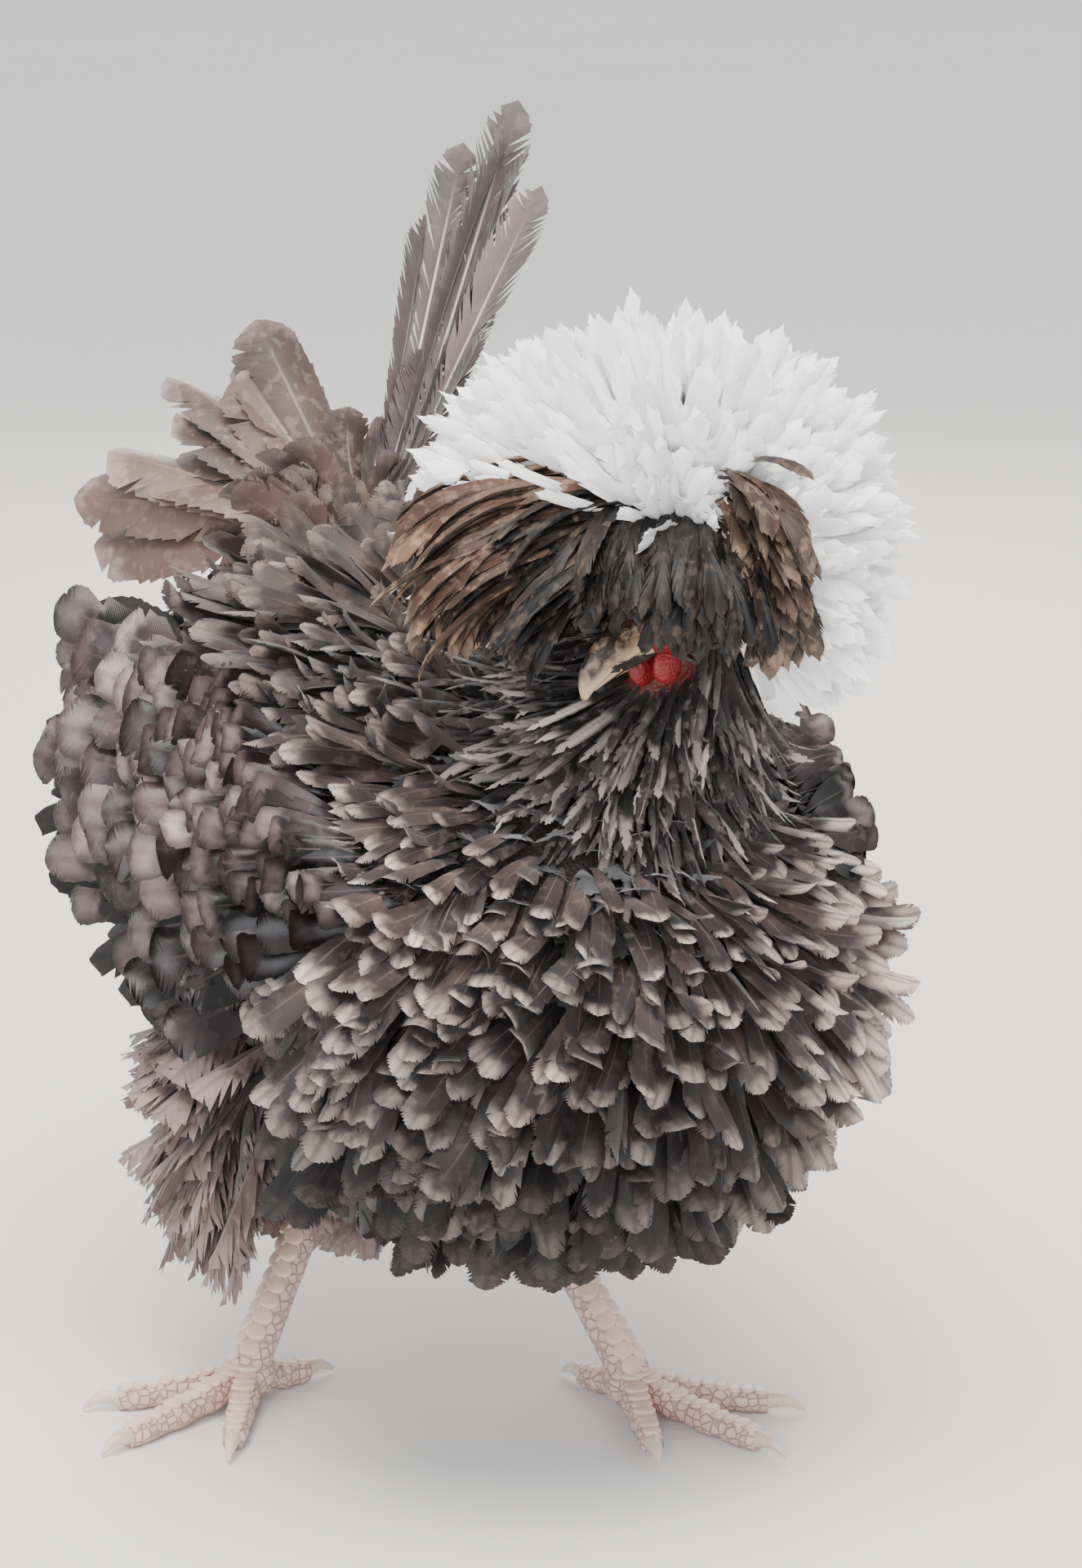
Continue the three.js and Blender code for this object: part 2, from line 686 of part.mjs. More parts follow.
// Crest: feathers spring from a cap on the knob. The crest is shaken open, so they stand in a wheel around
// the way that it faces, leaning towards that way in front and away from it behind.
const facing = rad(CREST_FACING.azimuth);
const crestOut = vec(
  Math.sin(facing),
  -Math.cos(facing),
  Math.tan(rad(CREST_FACING.elevation)),
).normalize();
const crestRight = vec(Math.cos(facing), Math.sin(facing), 0);
const crestUp = crestOut.clone().cross(crestRight);
const onWheel = (r, u, n) =>
  vec(0, 0, 0).addScaledVector(crestRight, r).addScaledVector(crestUp, u).addScaledVector(crestOut, n);
const crestCap = ellipsoid(knob, vec(CREST_CAP_RADIUS, CREST_CAP_RADIUS, CREST_CAP_RADIUS), headAxes, 2);
function crownFeathers() {
  const vary = wobble(3);
  const layers = [
    { lean: -64, from: -110, to: 250, count: 5, length: 0.84 },
    { lean: -38, from: -85, to: 205, count: 8, length: 0.98 },
    { lean: -12, from: -62, to: 180, count: 9, length: 1.1 },
    { lean: 14, from: -58, to: 172, count: 8, length: 1.06 },
    { lean: 42, from: 5, to: 145, count: 3, length: 0.84 },
  ];
  const pieces = [];
  layers.forEach(({ lean, from, to, count, length }, layer) => {
    for (let i = 0; i < count; i++) {
      const turn = rad(lerp(from, to, (i + 0.25 + 0.5 * (layer % 2)) / count) + vary() * 3);
      const tilt = rad(lean + vary() * 2);
      const spoke = onWheel(Math.cos(turn), Math.sin(turn), 0);
      const along = spoke.clone().multiplyScalar(Math.cos(tilt)).addScaledVector(crestOut, Math.sin(tilt));
      const up = crestOut.clone().multiplyScalar(Math.cos(tilt)).addScaledVector(spoke, -Math.sin(tilt));
      pieces.push(
        vane({
          root: knob.clone().addScaledVector(along, CREST_CAP_RADIUS - 3),
          along,
          up,
          length:
            (CREST_FEATHER.length * length - CREST_CAP_RADIUS + 8 * Math.max(0, -Math.cos(turn))) *
            (1 + vary() * 0.07),
          width: CREST_FEATHER.width,
          bend: -18 + vary() * 6,
          roll: 13,
          outline: BLUNT_TIP,
        }),
      );
    }
  });
  return pieces;
}

// The dark front of the crest hangs over the face: a long sweep to her right, a shorter one to her left,
// and a fringe.
const frontRoot = knob.clone().add(onWheel(-2, -4, 12));
const frontCushion = ellipsoid(frontRoot, vec(9, 9, 8), headAxes, 1);
function frontFeathers() {
  const vary = wobble(29);
  const sweeps = [
    { from: [-76, 4, 12], to: [-46, -34, 20], count: 6, bend: -34 },
    { from: [-30, -24, 26], to: [14, -30, 24], count: 4, bend: -30 },
    { from: [34, -10, 18], to: [32, -46, 10], count: 5, bend: -26 },
  ];
  const pieces = [];
  for (const { from, to, count, bend } of sweeps)
    for (let i = 0; i < count; i++) {
      const t = i / (count - 1);
      const reach = onWheel(...from).lerp(onWheel(...to), t);
      const along = reach.clone().normalize().addScaledVector(crestUp, 0.35)
        .addScaledVector(crestOut, 0.25);
      pieces.push(
        vane({
          root: frontRoot.clone().addScaledVector(reach.clone().normalize(), 6),
          along,
          up: crestUp.clone().addScaledVector(crestOut, 1.1),
          length: reach.length() * (1 + vary() * 0.06),
          width: CREST_FEATHER.width * 0.85,
          bend,
          outline: BLUNT_TIP,
        }),
      );
    }
  return pieces;
}

// Materials.
const plumage = new THREE.MeshStandardMaterial({ color: 0x6b5d55, roughness: 0.8, metalness: 0 });
const tailPlumage = new THREE.MeshStandardMaterial({ color: 0x84736a, roughness: 0.7, metalness: 0 });
const crownPlumage = new THREE.MeshStandardMaterial({ color: 0xf2f0ea, roughness: 0.75, metalness: 0 });
const frontPlumage = new THREE.MeshStandardMaterial({ color: 0x2e2420, roughness: 0.7, metalness: 0 });
const redSkin = new THREE.MeshStandardMaterial({ color: 0xa3201c, roughness: 0.55, metalness: 0 });
const lobeSkin = new THREE.MeshStandardMaterial({ color: 0xe8e2d8, roughness: 0.6, metalness: 0 });
const beakHorn = new THREE.MeshStandardMaterial({ color: 0xc9b08a, roughness: 0.4, metalness: 0 });
const eyeGloss = new THREE.MeshStandardMaterial({ color: 0x5a2410, roughness: 0.1, metalness: 0 });
const legSkin = new THREE.MeshStandardMaterial({ color: 0xd9b3a4, roughness: 0.6, metalness: 0 });
const clawHorn = new THREE.MeshStandardMaterial({ color: 0xd8c9b4, roughness: 0.45, metalness: 0 });

// Assembly. Each node is cut clear of the named solids that are there already, grown by the gap. A feather
// that would run into one of them is left out instead.
const hen = new THREE.Group();
const grown = {};
function add(
  name,
  body,
  material,
  { feathers = [], cutBy = [], clearOf = cutBy, pits = [], trim = null } = {},
) {
  const core = join(body);
  const clear = (feather) => {
    const exposed = join([feather]).subtract(core);
    return clearOf.every((other) => exposed.intersect(grown[other]).isEmpty());
  };
  const pieces = [...body, ...feathers.filter(clear)];
  let solid = join(pieces);
  for (const other of cutBy) solid = solid.subtract(grown[other]);
  if (pits.length) solid = solid.subtract(join(pits));
  if (trim) solid = solid.intersect(trim);
  grown[name] = join(pieces, GAP);
  hen.add(meshOf(name, solid.simplify(SMALLEST_EDGE), material));
}
const both = (name) => SIDES.map(([side]) => `${name}_${side}`);

for (const [side, sign] of SIDES) add(`eye_${side}`, [eyePiece(sign)], eyeGloss);
const bill = [beakUpper, nostrilRim(1), nostrilRim(-1)];
add("beak_upper", bill, beakHorn, { cutBy: both("eye"), pits: [nostrilPit(1), nostrilPit(-1)] });
add("beak_lower", [beakLower], beakHorn, { cutBy: ["beak_upper", ...both("eye")] });
add("comb", [combHorn(1), combHorn(-1)], redSkin, { cutBy: ["beak_upper"] });
add(
  "head",
  [...headPieces, lidPiece(1), lidPiece(-1)],
  redSkin,
  { cutBy: [...both("eye"), "beak_upper", "beak_lower", "comb"] },
);
const face = [...both("eye"), "beak_upper", "beak_lower", "comb", "head"];
for (const [side, sign] of SIDES) {
  add(`wattle_${side}`, [wattle(sign)], redSkin, { cutBy: face });
  add(`earlobe_${side}`, [earlobe(sign)], lobeSkin, { cutBy: face });
  face.push(`wattle_${side}`, `earlobe_${side}`);
}
for (const [side] of SIDES) {
  const leg = LEGS[side];
  add(`foot_${side}`, footPieces(leg), legSkin, { trim: floorBlock });
  add(`shank_${side}`, shankPieces(leg), legSkin, { cutBy: [`foot_${side}`] });
  TOES.forEach(
    (toe, i) => add(
      `claw_${side}_${i + 1}`,
      [clawPiece(leg, toe)],
      clawHorn,
      { cutBy: [`foot_${side}`], trim: floorBlock },
    )
  );
}
grown.torso = join([torsoCore], GAP);
add("crest_front", [frontCushion, ...frontFeathers()], frontPlumage, { cutBy: face });
add("crest_crown", [crestCap, ...crownFeathers()], crownPlumage, { cutBy: [...face, "crest_front"] });
const headAndCrest = [...face, "crest_crown", "crest_front"];
add("tail", tailPieces(), tailPlumage, { cutBy: ["torso"] });
for (const [side, sign] of SIDES)
  add(`wing_${side}`, wingPieces(sign), plumage, { cutBy: ["torso", ...headAndCrest, "tail"] });
grown.drumsticks = join(SIDES.flatMap(([side, sign]) => drumstick(LEGS[side], sign)), GAP);
const limbs = ["tail", ...both("wing"), "drumsticks", ...both("shank")];
grown.neckCore = join([neckCore], GAP);
add(
  "torso",
  [torsoCore],
  plumage,
  { feathers: torsoFeathers(), cutBy: [...headAndCrest, ...limbs, "neckCore"] },
);
add(
  "neck",
  [neckCore],
  plumage,
  { feathers: hackles(), cutBy: headAndCrest, clearOf: [...headAndCrest, ...limbs, "torso"] },
);
for (const [side, sign] of SIDES) {
  const cutBy = ["tail", ...both("wing"), ...both("shank"), ...(sign < 0 ? ["thigh_left"] : [])];
  const feathers = thighLocks(LEGS[side], sign);
  add(
    `thigh_${side}`,
    drumstick(LEGS[side], sign),
    plumage,
    { feathers, cutBy, clearOf: [...cutBy, "torso"] },
  );
}

// The origin is on the floor, under the middle of the whole bird.
const bounds = new THREE.Box3().setFromObject(hen);
const middle = bounds.getCenter(new THREE.Vector3());
hen.position.set(-middle.x, -middle.y, -bounds.min.z);

const part = new THREE.Group();
part.add(hen);
export default part;
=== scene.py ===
import math
import random
from functools import partial

import bmesh
import bpy
import numpy as np
from mathutils import Matrix, Quaternion, Vector, noise


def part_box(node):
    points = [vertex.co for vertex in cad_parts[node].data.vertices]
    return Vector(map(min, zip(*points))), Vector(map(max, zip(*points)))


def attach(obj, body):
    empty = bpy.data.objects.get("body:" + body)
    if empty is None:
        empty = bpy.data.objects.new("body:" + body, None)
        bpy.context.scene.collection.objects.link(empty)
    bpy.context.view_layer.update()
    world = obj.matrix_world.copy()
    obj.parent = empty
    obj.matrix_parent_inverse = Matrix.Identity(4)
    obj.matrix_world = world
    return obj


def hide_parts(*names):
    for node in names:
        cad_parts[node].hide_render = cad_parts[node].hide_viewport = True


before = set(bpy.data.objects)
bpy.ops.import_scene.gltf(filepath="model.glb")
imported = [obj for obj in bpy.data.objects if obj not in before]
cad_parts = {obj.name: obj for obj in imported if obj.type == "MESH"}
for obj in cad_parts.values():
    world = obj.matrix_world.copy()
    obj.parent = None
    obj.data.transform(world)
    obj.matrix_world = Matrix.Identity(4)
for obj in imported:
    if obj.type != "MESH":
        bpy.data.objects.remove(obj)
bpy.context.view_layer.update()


# Studio: a plain pale floor that meets a pale surround, a broad soft light overhead and weaker ones in front
# and behind. The hen is seen from her right front, a little above her back, from 1.4 metres away.
MM = 0.001


def linear(hex_colour):
    """An sRGB hex colour as linear RGBA."""
    channels = [int(hex_colour[i : i + 2], 16) / 255 for i in (1, 3, 5)]
    return [c / 12.92 if c <= 0.04045 else ((c + 0.055) / 1.055) ** 2.4 for c in channels] + [1.0]


def add_node(tree, kind, *values, named=(), out=0, **settings):
    """Adds a node and sets it up. Links or fills its open inputs in their order, and the named ones, and
    returns its open output number out. A text value is a hex colour."""
    made = tree.nodes.new("ShaderNode" + kind)
    for key, value in settings.items():
        setattr(made, key, value)
    open_inputs = [socket for socket in made.inputs if socket.enabled]
    filled = [*zip(open_inputs, values), *((made.inputs[key], value) for key, value in dict(named).items())]
    for socket, value in filled:
        if isinstance(value, bpy.types.NodeSocket):
            tree.links.new(value, socket)
        else:
            socket.default_value = linear(value) if isinstance(value, str) else value
    return [socket for socket in made.outputs if socket.enabled][out]


def new_material(name, roughness, flesh=(0.0, 1), **surface):
    """A material whose constant values are set on the shader's own sockets. Flesh is the share of light that
    goes in and how many millimetres deep. Returns it, what adds its nodes, its shader and the place."""
    material = bpy.data.materials.new(name)
    material.use_nodes = True
    shader = material.node_tree.nodes["Principled BSDF"]
    surface.update(Roughness=roughness, Subsurface_Weight=flesh[0], Subsurface_Scale=flesh[1] * MM)
    for key, value in surface.items():
        shader.inputs[key.replace("_", " ")].default_value = value
    node = partial(add_node, material.node_tree)
    return material, node, shader, node("TexCoord", out=3)


def dress(shader, colour, relief=None, depth=0.0, strength=0.0, invert=False):
    """Links a colour to the shader and, where there is one, a relief of so many millimetres."""
    tree = shader.id_data
    tree.links.new(colour, shader.inputs["Base Color"])
    if relief:
        sizes = {"Height": relief, "Distance": depth * MM, "Strength": strength}
        tree.links.new(add_node(tree, "Bump", named=sizes, invert=invert), shader.inputs["Normal"])


def mottled(name, roughness, low, high, spot, detail, flesh=(0.0, 1)):
    """A finish that wavers between two colours, in spots of so many millimetres."""
    material, node, shader, place = new_material(name, roughness, flesh)
    spots = node("TexNoise", place, 1 / (spot * MM), detail)
    dress(shader, node("Mix", spots, low, high, data_type="RGBA"))
    return material


HEAD_CENTRE = Vector((19, -82, 262))
head_turn = (
    Quaternion((0, 0, 1), math.radians(-79))
    @ Quaternion((1, 0, 0), math.radians(26))
    @ Quaternion((0, 1, 0), math.radians(3))
)
HEAD_AXES = [head_turn @ Vector(axis) for axis in ((0, -1, 0), (1, 0, 0), (0, 0, 1))]
HEAD_FORWARD, HEAD_LEFT, HEAD_UP = HEAD_AXES
EYE = (7, 8.6, 2.5)


def in_head(forward, left, up):
    """A point in the hen's own millimetres from one in the head's axes."""
    return HEAD_CENTRE + HEAD_FORWARD * forward + HEAD_LEFT * left + HEAD_UP * up


eye_low, eye_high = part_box("eye_left")
ORIGIN = (eye_low + eye_high) / 2 - in_head(*EYE) * MM  # the hen's own origin, found from her left eye

VIEW_AZIMUTH = math.radians(-26)
VIEW_ELEVATION = math.radians(14)
VIEW_DISTANCE = 1400
LOOK_AT = Vector((14, -6, 191))
FRAME_HEIGHT = 1920 * 0.241  # millimetres of the scene that the frame's long side shows at the hen

toward_camera = Vector(
    (
        math.sin(VIEW_AZIMUTH) * math.cos(VIEW_ELEVATION),
        -math.cos(VIEW_AZIMUTH) * math.cos(VIEW_ELEVATION),
        math.sin(VIEW_ELEVATION),
    )
)
camera = bpy.data.objects.new("camera", bpy.data.cameras.new("camera"))
camera.data.sensor_width = 36
camera.data.lens = camera.data.sensor_width * VIEW_DISTANCE / FRAME_HEIGHT
camera.location = ORIGIN + (LOOK_AT + toward_camera * VIEW_DISTANCE) * MM
camera.rotation_euler = (-toward_camera).to_track_quat("-Z", "Y").to_euler()
bpy.context.scene.collection.objects.link(camera)
bpy.context.scene.camera = camera

# Background paper is matt, with a faint cloudiness.
paper = mottled("matt_paper", 0.9, "#e4e2de", "#e9e7e4", 400, 3)
floor_shape = bmesh.new()
bmesh.ops.create_grid(floor_shape, x_segments=2, y_segments=2, size=6)
floor_mesh = bpy.data.meshes.new("floor")
floor_shape.to_mesh(floor_mesh)
floor_shape.free()
floor_mesh.materials.append(paper)
floor = bpy.data.objects.new("floor", floor_mesh)
bpy.context.scene.collection.objects.link(floor)

world = bpy.data.worlds.new("surround")
world.use_nodes = True
world.node_tree.nodes["Background"].inputs["Color"].default_value = linear("#e6e8ea")
world.node_tree.nodes["Background"].inputs["Strength"].default_value = 1.55
bpy.context.scene.world = world
for name, spot, size, watts, tint in (
    ("overhead_light", (-250, -350, 1500), 1.0, 38, "#fffaf2"),
    ("front_light", (-900, -1300, 700), 0.9, 15, "#f4f7ff"),
    ("rear_light", (700, 1200, 900), 0.8, 13, "#fff6ea"),
):
    lamp = bpy.data.objects.new(name, bpy.data.lights.new(name, "AREA"))
    lamp.data.energy = watts
    lamp.data.size = size
    lamp.data.color = linear(tint)[:3]
    lamp.location = ORIGIN + Vector(spot) * MM
    lamp.rotation_euler = (LOOK_AT - Vector(spot)).to_track_quat("-Z", "Y").to_euler()
    bpy.context.scene.collection.objects.link(lamp)


# Skin: one skin over torso, neck, head, thighs, arms of the wings and the root of the tail. It is thin and
# downy under the coat, and bare, red and pebbled round the face. It is one closed form, fused and smoothed.
def mesh_of(name, shape):
    """Turns a bmesh into a mesh."""
    mesh = bpy.data.meshes.new(name)
    shape.to_mesh(mesh)
    shape.free()
    return mesh


def finish_piece(name, made, material, nodes=()):
    """Puts a mesh or bmesh that is in the hen's millimetres into the scene, on the body, with its finish."""
    mesh = made if isinstance(made, bpy.types.Mesh) else mesh_of(name, made)
    mesh.transform(Matrix.Translation(ORIGIN) @ Matrix.Scale(MM, 4))
    mesh.materials.append(material)
    mesh.shade_smooth()
    piece = bpy.data.objects.new(name, mesh)
    bpy.context.scene.collection.objects.link(piece)
    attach(piece, "root")
    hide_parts(*nodes)


TORSO_CENTRE = Vector((0, 0, 166))
TORSO_HALF = Vector((70, 102, 62))
TORSO_REAR_TAPER = 0.16
torso_turn = Quaternion((1, 0, 0), math.radians(16))


def torso_normal(d):
    """The way out of the torso in unit direction d."""
    return torso_turn @ Vector([a / half for a, half in zip(d, TORSO_HALF)]).normalized()


def torso_point(d, out=0.0):
    """A point on the torso in unit direction d, out millimetres above it."""
    narrow = 1 - TORSO_REAR_TAPER * d.y
    point = Vector((TORSO_HALF.x * d.x * narrow, TORSO_HALF.y * d.y, TORSO_HALF.z * d.z))
    return torso_turn @ point + TORSO_CENTRE + torso_normal(d) * out


def along_path(path, t):
    """(point, tangent) at t from 0 to 1 on a smooth curve through the path's points."""
    spans = len(path) - 1
    k = min(int(t * spans), spans - 1)
    s = t * spans - k
    p1, p2 = Vector(path[k]), Vector(path[k + 1])
    p0 = Vector(path[k - 1]) if k > 0 else p1 * 2 - p2
    p3 = Vector(path[k + 2]) if k + 2 <= spans else p2 * 2 - p1
    a, b, c = (p2 - p0) / 2, p0 - p1 * 2.5 + p2 * 2 - p3 * 0.5, (p3 - p0) / 2 + (p1 - p2) * 1.5
    return p1 + a * s + b * s**2 + c * s**3, (a + b * (2 * s) + c * (3 * s**2)).normalized()


def step_between(values, t):
    """The value at t from 0 to 1 between evenly spaced ones."""
    return float(np.interp(t * (len(values) - 1), range(len(values)), values))


def add_tube(shape, path, radii, sides=16, steps=12, above=None, below=None, upward=Vector((0, 0, 1))):
    """Adds a closed tube through the path's points to a bmesh. Its half widths and its heights above and
    below the path come from evenly spaced values, and upward is the way that counts as above."""
    rings = []
    for i in range(steps + 1):
        t = i / steps
        centre, along = along_path(path, t)
        up = (upward - along * upward.dot(along)).normalized()
        place = Matrix.Translation(centre) @ Matrix((up.cross(along), up, along)).transposed().to_4x4()
        radius = step_between(radii, t)
        ring = bmesh.ops.create_circle(
            shape, segments=sides, radius=radius, cap_ends=i in (0, steps), matrix=place
        )["verts"]
        for v in ring:
            high = (v.co - centre).dot(up)
            heights = above if high > 0 else below
            if heights:
                v.co += up * high * (step_between(heights, t) / radius - 1)
        rings.append(ring)
    loops = [
        [e for v in ring for e in v.link_edges if e.verts[0] in own and e.verts[1] in own]
        for ring, own in ((ring, set(ring)) for ring in rings)
    ]
    for a, b in zip(loops, loops[1:]):
        bmesh.ops.bridge_loops(shape, edges=list(dict.fromkeys(a + b)))
    faces = {f for ring in rings for v in ring for f in v.link_faces}
    bmesh.ops.recalc_face_normals(shape, faces=list(faces))


def add_ball(shape, centre, half, axes=None, detail=3):
    """Adds an ellipsoid to a bmesh, with its half sizes along the axes."""
    turn = Matrix(axes).transposed().to_4x4() if axes else Matrix.Identity(4)
    place = Matrix.Translation(centre) @ turn @ Matrix.Diagonal((*half, 1))
    return bmesh.ops.create_icosphere(shape, subdivisions=detail, radius=1, matrix=place)["verts"]


def fused(name, shape, voxel, smoothing):
    """One closed skin over overlapping forms, smoothed. Sizes are millimetres."""
    rough = bpy.data.objects.new(name, mesh_of(name, shape))
    bpy.context.scene.collection.objects.link(rough)
    remesh = rough.modifiers.new("remesh", "REMESH")
    remesh.mode = "VOXEL"
    remesh.voxel_size = voxel
    bpy.context.view_layer.update()
    mesh = bpy.data.meshes.new_from_object(rough.evaluated_get(bpy.context.evaluated_depsgraph_get()))
    bpy.data.objects.remove(rough)
    skin = bmesh.new()
    skin.from_mesh(mesh)
    bpy.data.meshes.remove(mesh)
    every_way = {"use_axis_x": True, "use_axis_y": True, "use_axis_z": True}
    for _ in range(smoothing):
        bmesh.ops.smooth_vert(skin, verts=skin.verts, factor=0.5, **every_way)
    return skin


KNOB = in_head(-7, 0, 13)
NECK_PATH = [(6, -40, 184), (20, -60, 226), (33, -76, 256)]
NECK_RADII = [27, 17, 13]
LEGS = {
    "left": {"sign": 1, "hip": (36, 4, 122), "hock": (11, 16, 74), "foot": (33, -28, 11), "heading": 20},
    "right": {
        "sign": -1, "hip": (-36, 22, 126), "hock": (-26, 54, 74), "foot": (-68, 28, 11), "heading": -66,
    },
}
THIGH_RADII = [26, 18, 9]


def thigh_path(leg):
    """Hip to hock."""
    hip, hock = Vector(leg["hip"]), Vector(leg["hock"])
    return [hip, (hip + hock) / 2 + Vector((0, 3, 0)), hock]


WING_FRONT = Vector((0.74, -0.62, 0.34)).normalized()
WING_BACK = Vector((0.78, 0.34, 0.62)).normalized()


def on_arm(sign, t, out):
    """(point, way out) on the arm of a wing, from the wrist at t 0 to the elbow at t 1."""
    d = WING_FRONT.lerp(WING_BACK, t).normalized()
    mirror = Vector((sign, 1, 1))
    return torso_point(d, out) * mirror, torso_normal(d) * mirror


skin_shape = bmesh.new()
for v in add_ball(skin_shape, Vector(), (1, 1, 1), detail=5):
    v.co = torso_point(v.co.normalized())
add_tube(skin_shape, NECK_PATH, NECK_RADII)
add_tube(skin_shape, [(2, 72, 206), (7, 96, 234), (9, 110, 246)], [25, 18, 9])
for leg in LEGS.values():
    add_tube(skin_shape, thigh_path(leg), THIGH_RADII)
    arm = [on_arm(leg["sign"], t, 3)[0] for t in (0, 0.35, 0.7, 1)]
    half = [6, 8.4, 7.8, 4.8]
    add_tube(skin_shape, arm, [10, 14, 13, 8], above=half, below=half, upward=on_arm(leg["sign"], 0.5, 0)[1])
add_ball(skin_shape, in_head(0, 0, 0), (20.6, 13.2, 15.2), HEAD_AXES, 4)
add_ball(skin_shape, KNOB, (11.5, 11.5, 11.5), HEAD_AXES)
add_ball(skin_shape, in_head(11, 0, -3), (9, 8.4, 9.4), HEAD_AXES)

# Bare bird skin is moist and a little translucent, so that it is half glossy, with pebbles about 1 mm wide.
# It is red round the face, darkened there as painted shade from the crest, cream under the white crest, and
# dark with down elsewhere.
skin_finish, node, shader, place = new_material("bird_skin", 0.5, (0.08, 2))
off_face, off_knob = (
    node("VectorMath", place, ORIGIN + spot * MM, operation="DISTANCE") for spot in (in_head(12, 0, -7), KNOB)
)
bare = node("MapRange", off_face, 24 * MM, 19 * MM)
under_crest = node("MapRange", off_knob, 20 * MM, 15 * MM)
pebbles = node("TexVoronoi", place, 1 / (1.11 * MM))
flush = node("TexNoise", place, 1 / (6.25 * MM), 4)
# Painted shade: the face's red is darkened for the shade that the crest casts on it.
shaded_red = node("Mix", flush, "#3d1210", "#7e2c27", data_type="RGBA")
down = node("Mix", flush, "#2a2422", "#4c423d", data_type="RGBA")
skin_tone = node("Mix", bare, down, shaded_red, data_type="RGBA")
skin_tone = node("Mix", under_crest, skin_tone, "#e6dccb", data_type="RGBA")
dress(shader, skin_tone, pebbles, 0.4, 0.8, invert=True)
finish_piece("skin", fused("skin", skin_shape, 1.7, 3), skin_finish, ["head", "neck", "torso"])


# Eyes: balls seated in the face between thin red lids, with an orange brown iris and a round black pupil.
# The clear cornea is wet, so that it mirrors the lights sharply. Its IOR is the real one's.
wet = {"IOR": 1.376, "Coat_Weight": 1.0, "Coat_Roughness": 0.02}
eye_finish, node, shader, place = new_material("wet_eye", 0.06, **wet)
EYE_RADIUS = 5.6
PUPIL_RADIUS = 2.1
IRIS_RADIUS = 4.3
fronts = []
for side, leg in LEGS.items():
    sign = leg["sign"]
    centre = in_head(EYE[0], sign * EYE[1], EYE[2])
    front = ORIGIN + (centre + HEAD_LEFT * sign * EYE_RADIUS) * MM
    fronts.append(node("VectorMath", place, front, operation="DISTANCE"))
    eye_shape = bmesh.new()
    add_ball(eye_shape, centre, (EYE_RADIUS,) * 3, HEAD_AXES, 4)
    finish_piece(f"eyeball_{side}", eye_shape, eye_finish, [f"eye_{side}"])
    ring = []
    for i in range(33):
        angle = 2 * math.pi * i / 32
        rim = (HEAD_FORWARD * math.cos(angle) + HEAD_UP * 0.84 * math.sin(angle)) * EYE_RADIUS * 0.92
        ring.append(centre + HEAD_LEFT * sign * 2.7 + rim)
    lid_shape = bmesh.new()
    add_tube(lid_shape, ring, [1.0, 1.35, 0.9, 1.25, 1.0], sides=10, steps=48, upward=HEAD_LEFT)
    finish_piece(f"lids_{side}", lid_shape, skin_finish)
off_front = node("Math", *fronts, operation="MINIMUM")
eye_tone = node("ValToRGB", node("Math", off_front, 1 / (8 * MM), operation="MULTIPLY"))
stops = [
    (PUPIL_RADIUS / 8, "#050403"), (PUPIL_RADIUS / 8 + 0.03, "#7a3410"), (IRIS_RADIUS / 8, "#b5561c"),
    (IRIS_RADIUS / 8 + 0.06, "#1d1009"),
]
bands = eye_tone.node.color_ramp.elements
while len(bands) < len(stops):
    bands.new(0.5)
for element, (at, tone) in zip(bands, stops):
    element.position = at
    element.color = linear(tone)
dress(shader, eye_tone)


# Bill: two halves of horn grown on the jaws, the upper arched over the lower, with a raised nostril on each
# side. Horn is smooth and lets a little light in. It is pale at the edges, and dark over the ridge and in the
# gape.
horn_finish, node, shader, place = new_material("beak_horn", 0.38, (0.1, 2))
above_gape = (HEAD_UP + HEAD_FORWARD * 0.18).normalized()
height = node("VectorMath", place, above_gape, operation="DOT_PRODUCT")
gape_level = (ORIGIN + in_head(12, 0, -4.6) * MM).dot(above_gape)
on_ridge = node("MapRange", height, gape_level + 2.2 * MM, gape_level + 7 * MM)
in_gape = node("Math", height, gape_level, 0.5 * MM, operation="COMPARE")
streaks = node("TexNoise", place, 1 / (3.33 * MM), 6, named={"Distortion": 0.8})
dark_share = node("MapRange", node("Math", on_ridge, streaks, operation="MULTIPLY"), 0.15, 0.55)
dark_share = node("Math", dark_share, in_gape, operation="MAXIMUM")
dress(shader, node("Mix", dark_share, "#b59a7c", "#2e221d", data_type="RGBA"), streaks, 0.2, 0.4)

GAPE = [in_head(12, 0, -4.2), in_head(26, 0, -4.0), in_head(35.6, 0, -6.0), in_head(40.2, 0, -9.4)]
upper_shape = bmesh.new()
high, deep = [8.6, 8.0, 5.0, 1.2], [1, 1, 0.9, 0.6]
add_tube(upper_shape, GAPE, [6.8, 5.4, 3.1, 0.8], sides=32, steps=28, above=high, below=deep, upward=HEAD_UP)
for v in upper_shape.verts:
    local = v.co - in_head(0, 0, 0)
    across = local.dot(HEAD_LEFT)
    if local.dot(HEAD_UP) > -3:
        v.co += HEAD_UP * (0.9 * math.exp(-((across / 1.5) ** 2))) - HEAD_LEFT * across * 0.1
for sign in (1, -1):
    for v in add_ball(upper_shape, in_head(20.4, sign * 3.8, 2.6), (4.0, 2.2, 2.2), HEAD_AXES):
        local = v.co - in_head(21.6, sign * 6, 2.2)
        if abs(local.dot(HEAD_FORWARD)) < 2.4 and abs(local.dot(HEAD_UP)) < 0.9:
            v.co -= HEAD_LEFT * sign * 1.3
finish_piece("bill_upper", upper_shape, horn_finish, ["beak_upper"])
LOWER_GAPE = [in_head(12, 0, -5.2), in_head(26, 0, -5.2), in_head(36.6, 0, -7.8)]
lower_shape = bmesh.new()
high, deep = [0.6, 0.5, 0.3], [5.4, 4.3, 1.3]
add_tube(lower_shape, LOWER_GAPE, [5.9, 4.4, 1.2], sides=24, steps=18, above=high, below=deep, upward=HEAD_UP)
finish_piece("bill_lower", lower_shape, horn_finish, ["beak_lower"])


